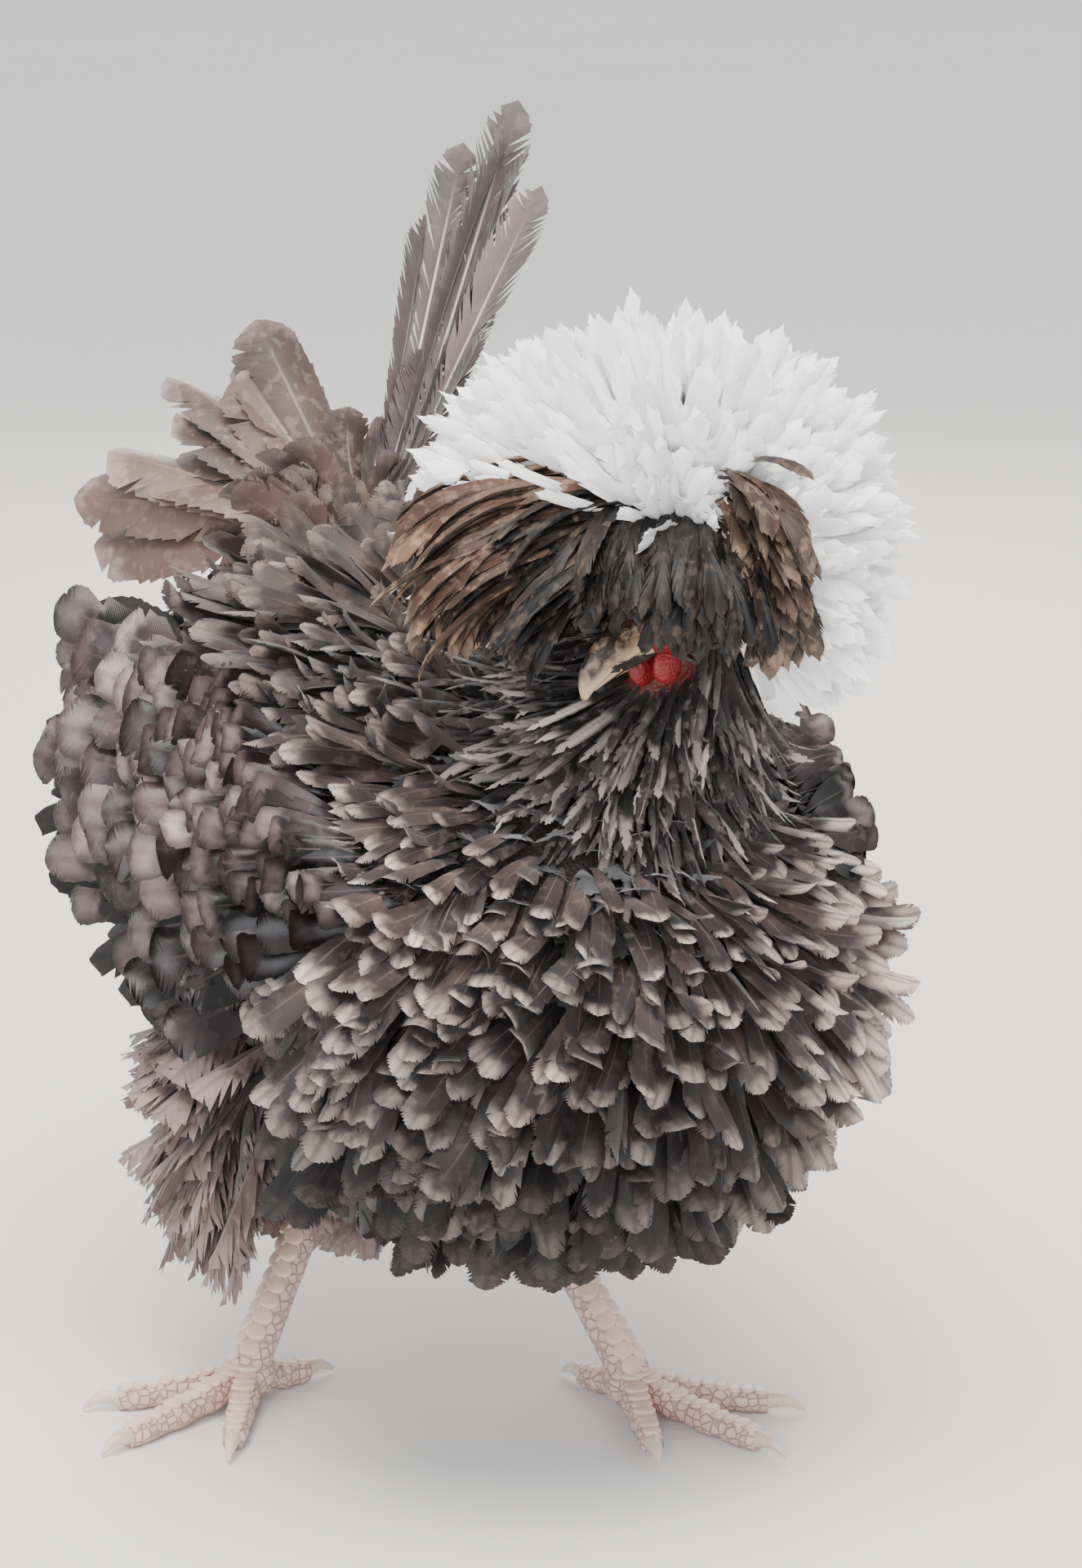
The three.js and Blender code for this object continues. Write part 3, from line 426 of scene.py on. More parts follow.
# Comb, wattles and ear lobes: small soft folds of skin, grown on the head. The comb is two short horns above
# the nostrils, the wattles hang under the jaw and the lobes behind it.
# Wattle skin is full of blood and lets light in, so that it glows a little, with pebbles 0.9 mm wide.
fold_finish, node, shader, place = new_material("wattle_skin", 0.42, (0.2, 3))
grain = node("TexVoronoi", place, 1 / (0.91 * MM))
flush = node("TexNoise", place, 1 / (5 * MM), 3)
dress(shader, node("Mix", flush, "#6e1216", "#972428", data_type="RGBA"), grain, 0.4, 0.7, invert=True)
# Lobe skin is bloodless, matt and soft.
lobe_finish = mottled("lobe_skin", 0.55, "#d8c8b8", "#f0ebe2", 4.55, 3, (0.15, 3))


def add_fold(shape, centre, half, ripples, sign):
    """Adds a thin hanging fold of skin, with a rippled rim."""
    for v in add_ball(shape, centre, half, HEAD_AXES, 4):
        local = v.co - centre
        ahead, high = local.dot(HEAD_FORWARD) / half[0], local.dot(HEAD_UP) / half[2]
        rim = min(1.0, math.hypot(ahead, high))
        v.co += HEAD_LEFT * sign * 0.3 * rim**2 * math.sin(ripples * math.atan2(high, ahead))
        v.co += HEAD_LEFT * 0.12 * math.sin(ahead * 5 + high * 3)


comb_shape = bmesh.new()
for sign in (1, -1):
    horn_path = [in_head(13, sign * 1.5, 7), in_head(16.5, sign * 3, 12), in_head(17.5, sign * 5.5, 18)]
    add_tube(comb_shape, horn_path, [3.2, 2.6, 0.9], sides=14, steps=12)
finish_piece("comb_horns", comb_shape, fold_finish, ["comb"])
for side, leg in LEGS.items():
    sign = leg["sign"]
    wattle_shape = bmesh.new()
    add_fold(wattle_shape, in_head(15 - sign, sign * 4.6, -15 + sign), (5.0, 2.0, 5.4), 3, sign)
    finish_piece(f"wattle_fold_{side}", wattle_shape, fold_finish, [f"wattle_{side}"])
    lobe_shape = bmesh.new()
    add_fold(lobe_shape, in_head(-5, sign * 12.5, -7), (4, 2, 5), 4, sign)
    finish_piece(f"lobe_{side}", lobe_shape, lobe_finish, [f"earlobe_{side}"])


# Legs and feet: pink skin under horny scales. Two rows of broad plates run down the front of each shank and
# one row over each toe, with a net of small scales at the sides. The plates are thin shells set in the skin.
# Scaled leg skin is dry and half glossy, with darker seams round scales about 3 mm wide.
leg_finish, node, shader, place = new_material("scaled_leg", 0.48, (0.12, 3))
net = node("TexVoronoi", place, 1 / (3.03 * MM), named={"Randomness": 0.7}, feature="DISTANCE_TO_EDGE")
seam = node("MapRange", net, 0.0, 0.13)
blotch = node("TexNoise", place, 1 / (16.7 * MM), 3)
flesh = node("Mix", blotch, "#cfa398", "#e9cdc2", data_type="RGBA")
dress(shader, node("Mix", seam, "#ad9087", flesh, data_type="RGBA"), seam, 0.5, 0.8)
# Leg plates are hard pink horn, and claws paler and glossier horn.
plate_finish = mottled("leg_plate", 0.4, "#c79a8b", "#efd6c8", 5.26, 4, (0.1, 2))
claw_finish = mottled("claw_horn", 0.35, "#b79f86", "#eadfcd", 3.85, 4, (0.1, 2))

TOES = [(0, 52), (37, 42), (-37, 40), (172, 22)]  # turn from the foot's heading in degrees, length
TOE_STEPS = [(0, 8), (0.3, 6), (0.65, 4.2), (1, 3.4)]  # share of the length, height
TOE_PADS = [5.6, 5.2, 4.2, 4.9, 3.9, 4.5, 3.6, 4.0, 3.3]
SHANK_RADII = [7.6, 5.4, 5.3, 6.3]
SHANK_ROWS = 15


def heading_way(degrees):
    """The level way that a foot or toe points."""
    return Vector((math.sin(math.radians(degrees)), -math.cos(math.radians(degrees)), 0))


def add_plate(shape, centre, across, along, outward, size):
    """Adds one horny plate, domed and rounded at its lower edge."""
    for v in add_ball(shape, centre, size, (across, along, outward), 3):
        reach = (v.co - centre).dot(outward)
        if reach > size[2] * 0.45:
            v.co -= outward * (reach - size[2] * 0.45) * 0.75


def rest_on_floor(shape):
    """Flattens what would go under the floor."""
    for v in shape.verts:
        v.co.z = max(v.co.z, 0.0)


for side, leg in LEGS.items():
    hock, foot = Vector(leg["hock"]), Vector(leg["foot"])
    shank_path = [hock + Vector((0, 0, 4)), (hock + foot) / 2 + Vector((0, -1.5, 0)), foot]
    toes_ahead = heading_way(leg["heading"])
    pitch = (hock - foot).length / SHANK_ROWS
    skin_of_leg, plates = bmesh.new(), bmesh.new()
    add_tube(skin_of_leg, shank_path, SHANK_RADII, sides=28, steps=30)
    for i in range(SHANK_ROWS):
        t = (i + 0.5) / SHANK_ROWS
        centre, down = along_path(shank_path, t)
        ahead = (toes_ahead - down * toes_ahead.dot(down)).normalized()
        across = down.cross(ahead)
        for half in (1, -1):
            turn = math.radians(25 * half)
            outward = ahead * math.cos(turn) + across * math.sin(turn)
            sideways = across * math.cos(turn) - ahead * math.sin(turn)
            spot = centre + outward * (step_between(SHANK_RADII, t) - 0.35) + down * (pitch * 0.25 * half)
            tilt = (outward - down * 0.12).normalized()
            add_plate(plates, spot, sideways, down, tilt, (3.3, pitch * 0.56, 1.5))
    rest_on_floor(skin_of_leg)
    finish_piece(f"shank_skin_{side}", skin_of_leg, leg_finish, [f"shank_{side}"])
    finish_piece(f"shank_plates_{side}", plates, plate_finish)
    skin_of_foot, plates = bmesh.new(), bmesh.new()
    add_ball(skin_of_foot, Vector((foot.x, foot.y, 8)), (8, 8, 7.8), detail=4)
    for k, (turn, length) in enumerate(TOES):
        ahead = heading_way(leg["heading"] + turn)
        path = [Vector((foot.x, foot.y, z)) + ahead * length * t for t, z in TOE_STEPS]
        add_tube(skin_of_foot, path, TOE_PADS, sides=22, steps=28)
        across = Vector((0, 0, 1)).cross(ahead)
        count = max(5, round(length / 3.9))
        for i in range(1, count):
            t = (i + 0.4) / count
            centre, way = along_path(path, t)
            outward = way.cross(across)
            outward = outward if outward.z > 0 else -outward
            radius = step_between(TOE_PADS, t)
            size = (radius * 0.78, length / count * 0.6, 1.3)
            tilt = (outward + way * -0.1).normalized()
            add_plate(plates, centre + outward * (radius - 0.3), across, way, tilt, size)
        tip = path[-1]
        bend, point = tip + ahead * 5, tip + ahead * 11
        claw_path = [tip - ahead * 3, Vector((*bend.xy, 4.2)), Vector((*point.xy, 1.3))]
        claw_shape = bmesh.new()
        add_tube(claw_shape, claw_path, [2.9, 2.0, 0.45], sides=16, steps=14)
        rest_on_floor(claw_shape)
        finish_piece(f"nail_{side}_{k + 1}", claw_shape, claw_finish, [f"claw_{side}_{k + 1}"])
    rest_on_floor(skin_of_foot)
    finish_piece(f"foot_skin_{side}", skin_of_foot, leg_finish, [f"foot_{side}"])
    finish_piece(f"toe_plates_{side}", plates, plate_finish)


# Body coat: rounded breast, back and belly feathers, shaken loose so that they stand off the body and curl
# out at their tips. Each is a shaft of horn with a soft vane on both sides, down at its root and a pale tip.
VANE_LEVELS = (0, 0.26, 0.48, 0.64, 0.75, 0.82, 0.87, 0.91, 0.942, 0.968, 0.988, 1)


def cut_patterns(outline, notch, split, slant, seed, levels=VANE_LEVELS, variants=5, fringe=0.0):
    """Flat patterns for feathers of one kind, each with its own ragged edge, as (u, v, height, triangles).

    A vane is closed: its top and its underside meet at the edge, where the height is 0, and between them runs
    the shaft. Its barbs slant forwards by a share of the length. Notch is the depth of its splits, split
    their share and fringe their share at the tip.
    """
    rng = random.Random(seed)
    spans = len(levels) - 1
    thick = [1 - 0.85 * level for level in levels[:-1]]
    height = np.array([*thick, *(-x for x in thick), *[0.0] * (4 * spans + 1)])
    patterns = []
    for _ in range(variants):
        u = [*levels[:-1], *levels[:-1], 1.0]
        v = [0.0] * len(u)
        triangles = []
        for side in (1, -1):
            valley, barb = len(u), len(u) + spans
            for level in levels[:-1]:
                deep = rng.random() < (max(split, fringe) if level > 0.74 else split)
                cut = 1 - notch * (rng.uniform(0.4, 1) if deep else 0.1)
                u.append(level)
                v.append(side * np.interp(level, *outline) * cut)
            for low, high in zip(levels, levels[1:]):
                at = low + (high - low) * rng.uniform(0.6, 0.9)
                u.append(at)
                v.append(side * np.interp(at, *outline) * rng.uniform(0.96, 1.05))
            for i in range(spans):
                for below in (0, 1):
                    here = i + spans * below
                    ahead = here + 1 if i + 1 < spans else 2 * spans
                    faces = [(here, ahead, barb + i), (here, barb + i, valley + i)]
                    if i + 1 < spans:
                        faces.append((ahead, valley + i + 1, barb + i))
                    triangles += faces if (side == 1) == (below == 0) else [face[::-1] for face in faces]
            cap = (0, valley, spans)
            triangles.append(cap if side == 1 else cap[::-1])
        u, v = np.array(u), np.array(v)
        u += slant * np.abs(v) * np.minimum(1, (1 - u) / 0.25) * np.minimum(1, u / 0.15)
        patterns.append((u, v, height, np.array(triangles)))
    return patterns


SKIN_REGIONS = {  # left, low, width and height on the unwrap
    "torso": (0, 0, 1, 0.5),
    **{
        name: (0.25 * (i % 4), 0.5 + 0.25 * (i // 4), 0.25, 0.25)
        for i, name in enumerate(
            ("neck", "crown", "front", "tail", "wing_left", "wing_right", "thigh_left", "thigh_right")
        )
    },
}
TUFT_PATCH = 0.003


def unwrap(region, along, around):
    """The place of a root on the unwrap of the skin, from shares of its region's length and girth."""
    left, low, wide, high = SKIN_REGIONS[region]
    return left + wide * (around % 1.0), low + high * min(max(along, 0.0), 0.999)


def feather(root, along, up, size, curve, marks, place, sickle=0.0):
    """One feather. Size is length, width and camber, curve is bend, curl and twist in degrees, marks are four
    shares for its finish (brown, pale, pale length, lightness), place is its root on the unwrap, and sickle
    is how far its tip swings sideways, as a share of its length."""
    along = Vector(along).normalized()
    side = Vector(up).cross(along).normalized()
    curve = [math.radians(turn) for turn in curve]
    return [*root, *along, *along.cross(side), *side, *size, *curve, sickle, *marks, *place]


def coat_piece(name, patterns, feathers, shaft_radius, material, node):
    """Joins feathers to one mesh, with their marks and maps: their own, one in metres and one of roots."""
    table = np.array(feathers)
    grid = np.linspace(0, 1, 33)
    parts, start = [], 0
    for k, (u, v, height, triangles) in enumerate(patterns):
        rows = table[k :: len(patterns)]
        shape = (len(rows), len(u))
        root, along, up, side = (rows[:, None, i : i + 3] for i in (0, 3, 6, 9))
        length, width, camber, bend, curl, twist, sickle = rows[:, 12:19].T[..., None]
        angle = bend * grid + curl * grid**3
        run = np.zeros((2, len(rows), len(grid)))
        for j, rate in enumerate((np.cos(angle), np.sin(angle))):
            run[j, :, 1:] = np.cumsum((rate[:, 1:] + rate[:, :-1]) / 2, axis=1) / (len(grid) - 1)
        at = u * (len(grid) - 1)
        low = np.minimum(at.astype(int), len(grid) - 2)
        share = at - low
        ahead, rise = run[:, :, low] * (1 - share) + run[:, :, low + 1] * share
        angle = (bend * u + curl * u**3)[..., None]
        turn = (twist * u)[..., None]
        normal = up * np.cos(angle) - along * np.sin(angle)
        across = side * np.cos(turn) + normal * np.sin(turn)
        normal = normal * np.cos(turn) - side * np.sin(turn)
        points = root + length[..., None] * (along * ahead[..., None] + up * rise[..., None])
        points = points + across * (width / 2 * v + length * sickle * u**2)[..., None]
        points = points + normal * (height * shaft_radius - camber * width / 2 * v**2)[..., None]
        faces = triangles[None] + start + len(u) * np.arange(len(rows))[:, None, None]
        start += len(rows) * len(u)
        local = np.broadcast_to(np.stack([u, v / 2 + 0.5], axis=1), (*shape, 2))
        metric = np.stack([length * u * MM, width / 2 * v * MM], axis=2)
        patch = rows[:, None, 23:] + (local - 0.5) * TUFT_PATCH
        marks = np.broadcast_to(rows[:, None, 19:23], (*shape, 4))
        parts.append((points, faces, local, metric, patch, marks, np.broadcast_to(height == 0.0, shape)))
    points, faces, local, metric, patch, marks, edge = (
        np.concatenate([part.reshape(-1, *part.shape[2:]) for part in same]) for same in zip(*parts)
    )
    mesh = bpy.data.meshes.new(name)
    mesh.vertices.add(len(points))
    mesh.vertices.foreach_set("co", points.ravel())
    mesh.loops.add(faces.size)
    mesh.loops.foreach_set("vertex_index", faces.ravel())
    mesh.polygons.add(len(faces))
    mesh.polygons.foreach_set("loop_start", np.arange(len(faces)) * 3)
    mesh.update(calc_edges=True)
    ends = np.zeros(len(mesh.edges) * 2, int)
    mesh.edges.foreach_get("vertices", ends)
    sharp = edge[ends].reshape(-1, 2).all(axis=1)
    mesh.attributes.new("sharp_edge", "BOOLEAN", "EDGE").data.foreach_set("value", sharp)
    mesh.attributes.new("marks", "FLOAT_COLOR", "POINT").data.foreach_set("color", marks.ravel())
    for map_name, values in (("feather", local), ("barbs", metric), ("OFBake", patch)):
        mesh.uv_layers.new(name=map_name).data.foreach_set("uv", values[faces.ravel()].ravel())
    finish_piece(name, mesh, material, [node])


def feather_finish(
    name, dark, brown, pale, down, shaft, roughness, bar, fleck, sheen, streak=0.6, rim=0.0, end_shade=0.0
):
    """A feather's finish. Colours are of the dark and the brown ground, the pale tip, the down at the root
    and the shaft. Bar is how much darker the vane is before its tip, fleck how strongly it is mottled, streak
    how dark the shaft's line through the tip is, rim how dark the tip's sides are, and end_shade how dark its
    very end is. The dark rim is a marking on some feathers and painted shade on the coverts, and the dark end
    is painted shade. The barbs are drawn 0.8 mm apart, about twice as coarse as real ones, so that they show."""
    gloss = {"Sheen_Weight": sheen, "Sheen_Roughness": 0.5, "Specular_IOR_Level": 0.28}
    material, node, shader, place = new_material(name, roughness, **gloss)
    own = node("SeparateXYZ", node("UVMap", uv_map="feather")).node.outputs
    metres = node("SeparateXYZ", node("UVMap", uv_map="barbs")).node.outputs
    marks = node("Attribute", attribute_name="marks").node.outputs
    brown_share, pale_share, pale_length = node("SeparateColor", marks["Color"]).node.outputs
    soft = {"interpolation_type": "SMOOTHSTEP"}
    mottle = node("TexNoise", place, 1 / (3.85 * MM), 3)
    wide = node("TexNoise", place, 1 / (22.2 * MM), 2)
    shift = node("Math", mottle, 0.16, -0.08, operation="MULTIPLY_ADD")

    # Where a point is on the vane: off the shaft, and along it with a mottled and rounded front
    u = own["X"]
    off_shaft = node("Math", own["Y"], 2.0, -1.0, operation="MULTIPLY_ADD")
    off_shaft = node("Math", off_shaft, operation="ABSOLUTE")
    rounding = node("Math", off_shaft, 2.0, operation="POWER")
    rounding = node("Math", rounding, 0.07, shift, operation="MULTIPLY_ADD")
    mottled_u = node("Math", rounding, u, operation="ADD")

    # The pale tip, its dark rim (painted shade on coverts), its end drawn dark as painted shade, and the bar
    # before it
    # A dark rim at the tip's sides: a marking on body, neck and crest feathers, painted shade on coverts.
    rim_mark_and_shade = node("Math", off_shaft, shift, operation="ADD")
    rim_mark_and_shade = node("MapRange", rim_mark_and_shade, 0.35, 0.95, 0.0, rim, **soft)
    # Painted shade: the very end of the tip is drawn dark, used on coverts only.
    end_shaded = node("MapRange", mottled_u, 0.9, 1.0, 0.0, end_shade, **soft)
    off_rim_and_end_shade = node("Math", 1.0, node("Math", rim_mark_and_shade, end_shaded, operation="MAXIMUM"), operation="SUBTRACT")
    tip_from = node("Math", 1.0, pale_length, operation="SUBTRACT")
    tip_full = node("Math", tip_from, 0.16, operation="ADD")
    in_tip = node("MapRange", mottled_u, tip_from, tip_full, **soft)
    in_tip = node("Math", in_tip, off_rim_and_end_shade, operation="MULTIPLY")
    bar_from = node("Math", tip_from, 0.3, operation="SUBTRACT")
    off_tip = node("Math", 1.0, in_tip, operation="SUBTRACT")
    in_bar = node("MapRange", mottled_u, bar_from, tip_from, 0.0, bar, **soft)
    in_bar = node("Math", in_bar, off_tip, operation="MULTIPLY")

    # The ground, from dark to brown, with pale flecks, down at the root and the bar
    browned = node("Math", brown_share, 0.45, operation="SUBTRACT")
    browned = node("Math", wide, 0.9, browned, operation="MULTIPLY_ADD")
    ground = node("Mix", node("MapRange", browned, 0.0, 1.0, **soft), dark, brown, data_type="RGBA")
    in_fleck = node("MapRange", mottle, 0.52, 0.66, 0.0, fleck, **soft)
    ground = node("Mix", in_fleck, ground, pale, data_type="RGBA")
    ground = node("Mix", node("MapRange", u, 0.45, 0.12, **soft), ground, down, data_type="RGBA")
    ground = node("Mix", in_bar, ground, dark, data_type="RGBA")

    # The tip over the ground, the shaft over both, and the barbs
    in_streak = node("MapRange", off_shaft, 0.2, 0.05, 0.0, streak, **soft)
    tip = node("Mix", in_streak, pale, dark, data_type="RGBA")
    tone = node("Mix", node("Math", in_tip, pale_share, operation="MULTIPLY"), ground, tip, data_type="RGBA")
    on_shaft = node("MapRange", off_shaft, 0.055, 0.03, 0.0, 0.7, **soft)
    on_shaft = node("Math", on_shaft, node("MapRange", u, 0.95, 0.6, **soft), operation="MULTIPLY")
    tone = node("Mix", on_shaft, tone, shaft, data_type="RGBA")
    along_barbs = node("Math", metres["Y"], operation="ABSOLUTE")
    along_barbs = node("Math", along_barbs, -1.1, metres["X"], operation="MULTIPLY_ADD")
    barbs = node("Math", along_barbs, math.tau / (0.8 * MM), operation="MULTIPLY")
    barbs = node("Math", barbs, operation="SINE")
    lightness = node("Math", barbs, 0.04, 1.0, operation="MULTIPLY_ADD")
    lightness = node("Math", lightness, marks["Alpha"], operation="MULTIPLY")
    tone = node("HueSaturation", named={"Color": tone, "Value": lightness})
    dress(shader, tone, barbs, 0.3, 0.07)
    return material


def clamped(x):
    """A share, kept between 0 and 1."""
    return min(1.0, max(0.0, x))


def raised(lie, outward, lift):
    """The way of a feather that is lifted off its lie by so many degrees, and the way that its top faces."""
    lift = math.radians(lift)
    return lie * math.cos(lift) + outward * math.sin(lift), outward * math.cos(lift) - lie * math.sin(lift)


# Body feathers are dry horn with loose barbs, soft and nearly matt, dark with brown mottles and pale tips.
body_finish = feather_finish(
    "mottled_feather", dark="#1f191a", brown="#54433d", pale="#ad9d92", down="#2b2423", shaft="#62544f",
    roughness=0.5, bar=0.75, fleck=0.14, sheen=0.12, streak=0.45, rim=0.8,
)
ROUND_TIP = (  # shares of the length, and of the width there
    (0, 0.1, 0.3, 0.52, 0.72, 0.84, 0.91, 0.955, 0.985, 1),
    (0.06, 0.3, 0.66, 0.93, 1.0, 0.95, 0.8, 0.6, 0.34, 0.0),
)
NECK_ON_TORSO = Vector((0.08, -0.45, 0.88)).normalized()
neck_side = NECK_ON_TORSO.cross(Vector((1, 0, 0))).normalized()
neck_front = neck_side.cross(NECK_ON_TORSO)
neck_base = Vector(NECK_PATH[0]).lerp(Vector(NECK_PATH[1]), 0.4)
TAIL_ROOT = Vector((9, 110, 246))
BARE_ROUND = [(neck_base, 30), (TAIL_ROOT, 30), *((Vector(leg["hip"]), 22) for leg in LEGS.values())]
GOLDEN = math.pi * (3 - math.sqrt(5))
ROOTS_ON_TORSO = 3800
SHORT_FEATHER, SLIM_FEATHER = 34, 6.5  # beside the neck
LONGER, WIDER = 21, 5.5  # what they gain away from it
rng = random.Random(11)


def off_neck(polar, around):
    """A direction on the torso, from its angle off the neck and its angle around the neck in degrees."""
    a, b = math.radians(polar), math.radians(around)
    return NECK_ON_TORSO * math.cos(a) + (neck_front * math.cos(b) + neck_side * math.sin(b)) * math.sin(a)


def lie_on_torso(d):
    """The way that feathers lie: away from the neck, and a little downwards."""
    normal = torso_normal(d)
    away = -(NECK_ON_TORSO - normal * NECK_ON_TORSO.dot(normal)) + Vector((0, 0, -0.35))
    return (away - normal * away.dot(normal)).normalized(), normal


def under_wing(point):
    """Whether a folded wing lies over the point."""
    return abs(point.x) > 42 and -58 < point.y < 66 and 130 < point.z < 232


coats = {"breast_coat": [], "belly_coat": [], "back_coat": []}
for i in range(ROOTS_ON_TORSO):
    polar = math.degrees(math.acos(0.93 - 1.92 * (i + 0.5) / ROOTS_ON_TORSO)) + rng.gauss(0, 1)
    around = math.degrees(i * GOLDEN) % 360 + rng.gauss(0, 1.5)
    d = off_neck(polar, around)
    root = torso_point(d, -1)
    lie, normal = lie_on_torso(d)
    if any((root - centre).length < radius for centre, radius in BARE_ROUND):
        continue
    hidden = under_wing(root)
    grown_out = clamped((polar - 22) / 45)
    swirl = Quaternion(normal, 0.9 * noise.noise(root * 0.022) + rng.gauss(0, 0.2))
    length = (SHORT_FEATHER + LONGER * grown_out) * (0.6 if hidden else 1) * rng.uniform(0.84, 1.07)
    width = (SLIM_FEATHER + WIDER * grown_out) * rng.uniform(0.8, 1.15)
    along, up = raised(swirl @ lie, normal, (22 if hidden else 60) + rng.gauss(0, 8))
    curl = rng.gauss(4, 16) if rng.random() < 0.84 else rng.uniform(40, 90)
    low = max(0.0, -d.z)
    shoulder = clamped((root.z - 190) / 20)  # the shoulders are plainer and browner
    lit = clamped((d.x - 0.15) / 0.45)  # painted light: her left side is drawn paler
    shaded = clamped((176 - root.z) / 50) * (1 - 0.7 * lit)  # painted shade on the belly, which lies in shadow
    back = d.y > 0.15 and d.z > -0.2
    brown = rng.gauss(0.65 if back else 0.42 + 0.3 * low, 0.18)
    # Pale tips, brown and lightness are lowered by the painted shade and raised by the painted light.
    pale = rng.uniform(0.05, 0.5) if back else rng.uniform(0.3, 1.0) * (1 - 0.5 * shaded)
    pale_length = rng.uniform(0.1, 0.22) + 0.1 * lit
    light = rng.uniform(0.95, 1.5) + (-0.22 if back else 0.3 - 0.45 * shoulder) - 1.45 * shaded + 0.25 * lit
    brown += 0.2 * lit + 0.15 * shoulder - 0.3 * shaded
    marks = (brown, pale * (1 - 0.45 * shoulder) + 0.3 * lit, pale_length, max(0.24, light))
    bend = -22 if hidden else -44 + 10 * rng.gauss(0, 1)
    coats["belly_coat" if root.z < 142 else "back_coat" if d.y > 0.1 else "breast_coat"].append(feather(
        root, along, up, (length, width, rng.uniform(0.1, 0.5)), (bend, curl, rng.gauss(0, 22)),
        marks, unwrap("torso", polar / 180, around / 360), rng.gauss(0, 0.05),
    ))
round_patterns = cut_patterns(ROUND_TIP, 0.36, 0.12, 0.16, 3, variants=9, fringe=0.6)
for name, feathers in coats.items():
    coat_piece(name, round_patterns, feathers, 0.35, body_finish, "torso")


# Under-down: short grey fluff between the roots on the torso, so that no bare skin shows where the coat
# stands open. Each tuft is a small limp feather with deep notches, rooted in the skin.
# Down has no firm vane and no gloss, so that it looks like dark grey wool.
down_finish = feather_finish(
    "grey_down", dark="#141213", brown="#2d2726", pale="#4f4744", down="#332d2c", shaft="#332d2c",
    roughness=0.9, bar=0.2, fleck=0.2, sheen=0.5,
)
DOWN_TUFTS = 1100
down_tufts = []
for i in range(DOWN_TUFTS):
    polar = math.degrees(math.acos(1 - 2 * (i + 0.5) / DOWN_TUFTS))
    around = math.degrees(i * GOLDEN) % 360
    d = off_neck(polar, around)
    along, up = raised(*lie_on_torso(d), rng.uniform(30, 65))
    marks = (rng.gauss(0.4, 0.2), 0.3, 0.2, rng.uniform(0.7, 1.0))
    size = (rng.uniform(16, 24), rng.uniform(9, 13), 0.2)
    down_tufts.append(feather(
        torso_point(d, -1), along, up, size, (0, rng.uniform(-20, 50), rng.gauss(0, 20)), marks,
        unwrap("torso", polar / 180, around / 360),
    ))
DOWN_OUTLINE = ((0, 0.2, 0.5, 0.8, 1), (0.15, 0.7, 1.0, 0.8, 0.0))
down_patterns = cut_patterns(DOWN_OUTLINE, 0.8, 0.8, 0.2, 5, levels=(0, 0.3, 0.55, 0.75, 0.9, 1), variants=4)
coat_piece("under_down", down_patterns, down_tufts, 0.25, down_finish, "torso")


# Hackles: narrow pointed neck feathers, which the shake throws out in a ruff round the bill, and short ones
# over the face. They are rooted in the skin of neck and head.
# Neck feathers are fine and satiny, charcoal, many with a grey white edge, most of those to her right.
hackle_finish = feather_finish(
    "hackle_feather", dark="#0d0a0a", brown="#352a29", pale="#b0a49e", down="#1d1818", shaft="#3a3130",
    roughness=0.5, bar=0.2, fleck=0.25, sheen=0.25, streak=0.0, rim=0.95,
)
rng = random.Random(23)
hackle_feathers = []
HACKLE_RINGS = 17
BILL_ROOM = 10  # no hackle comes closer to the space in front of a wattle
wattle_fronts = [in_head(17, sign * 5.5, -17) for sign in (1, -1)]
for ring in range(HACKLE_RINGS):
    t = 0.28 + 0.66 * ring / (HACKLE_RINGS - 1)
    centre, tangent = along_path(NECK_PATH, t)
    ahead = (Vector((0, -1, 0)) - tangent * -tangent.y).normalized()
    across = tangent.cross(ahead)
    radius = step_between(NECK_RADII, t)
    count = round(84 - 26 * t)
    for i in range(count):
        turn = math.tau * (i + 0.5 * (ring % 2) + rng.gauss(0, 0.15)) / count
        outward = ahead * math.cos(turn) + across * math.sin(turn)
        along, up = raised(-tangent, outward, 86 - 22 * t + rng.gauss(0, 6))
        length = (54 - 20 * t) * rng.uniform(0.9, 1.06)
        streaked = rng.random() < (0.2 + 0.45 * max(0.0, -outward.x)) * min(1.0, (1.25 - t) / 0.6)
        marks = (
            rng.gauss(0.35, 0.2), rng.uniform(0.5, 1.0) if streaked else rng.uniform(0.0, 0.15),
            rng.uniform(0.2, 0.7), rng.uniform(0.6, 1.3),
        )
        tip = centre + outward * radius + along * length * 0.8
        trail = [centre.lerp(tip, share) for share in (0.45, 0.6, 0.8, 1.0)]
        if t > 0.4 and min((point - front).length for point in trail for front in wattle_fronts) < BILL_ROOM:
            continue
        along += along.cross(outward) * rng.gauss(0, 0.12)
        size = (length * rng.uniform(0.66, 1.04), rng.uniform(2.2, 5.2), 0.3)
        hackle_feathers.append(feather(
            centre + outward * (radius - 2), along, up, size,
            (-18 + rng.gauss(0, 10), rng.uniform(-25, 45), rng.gauss(0, 35)), marks,
            unwrap("neck", t, turn / math.tau), rng.gauss(0, 0.08),
        ))
FACE_FEATHERS = 600
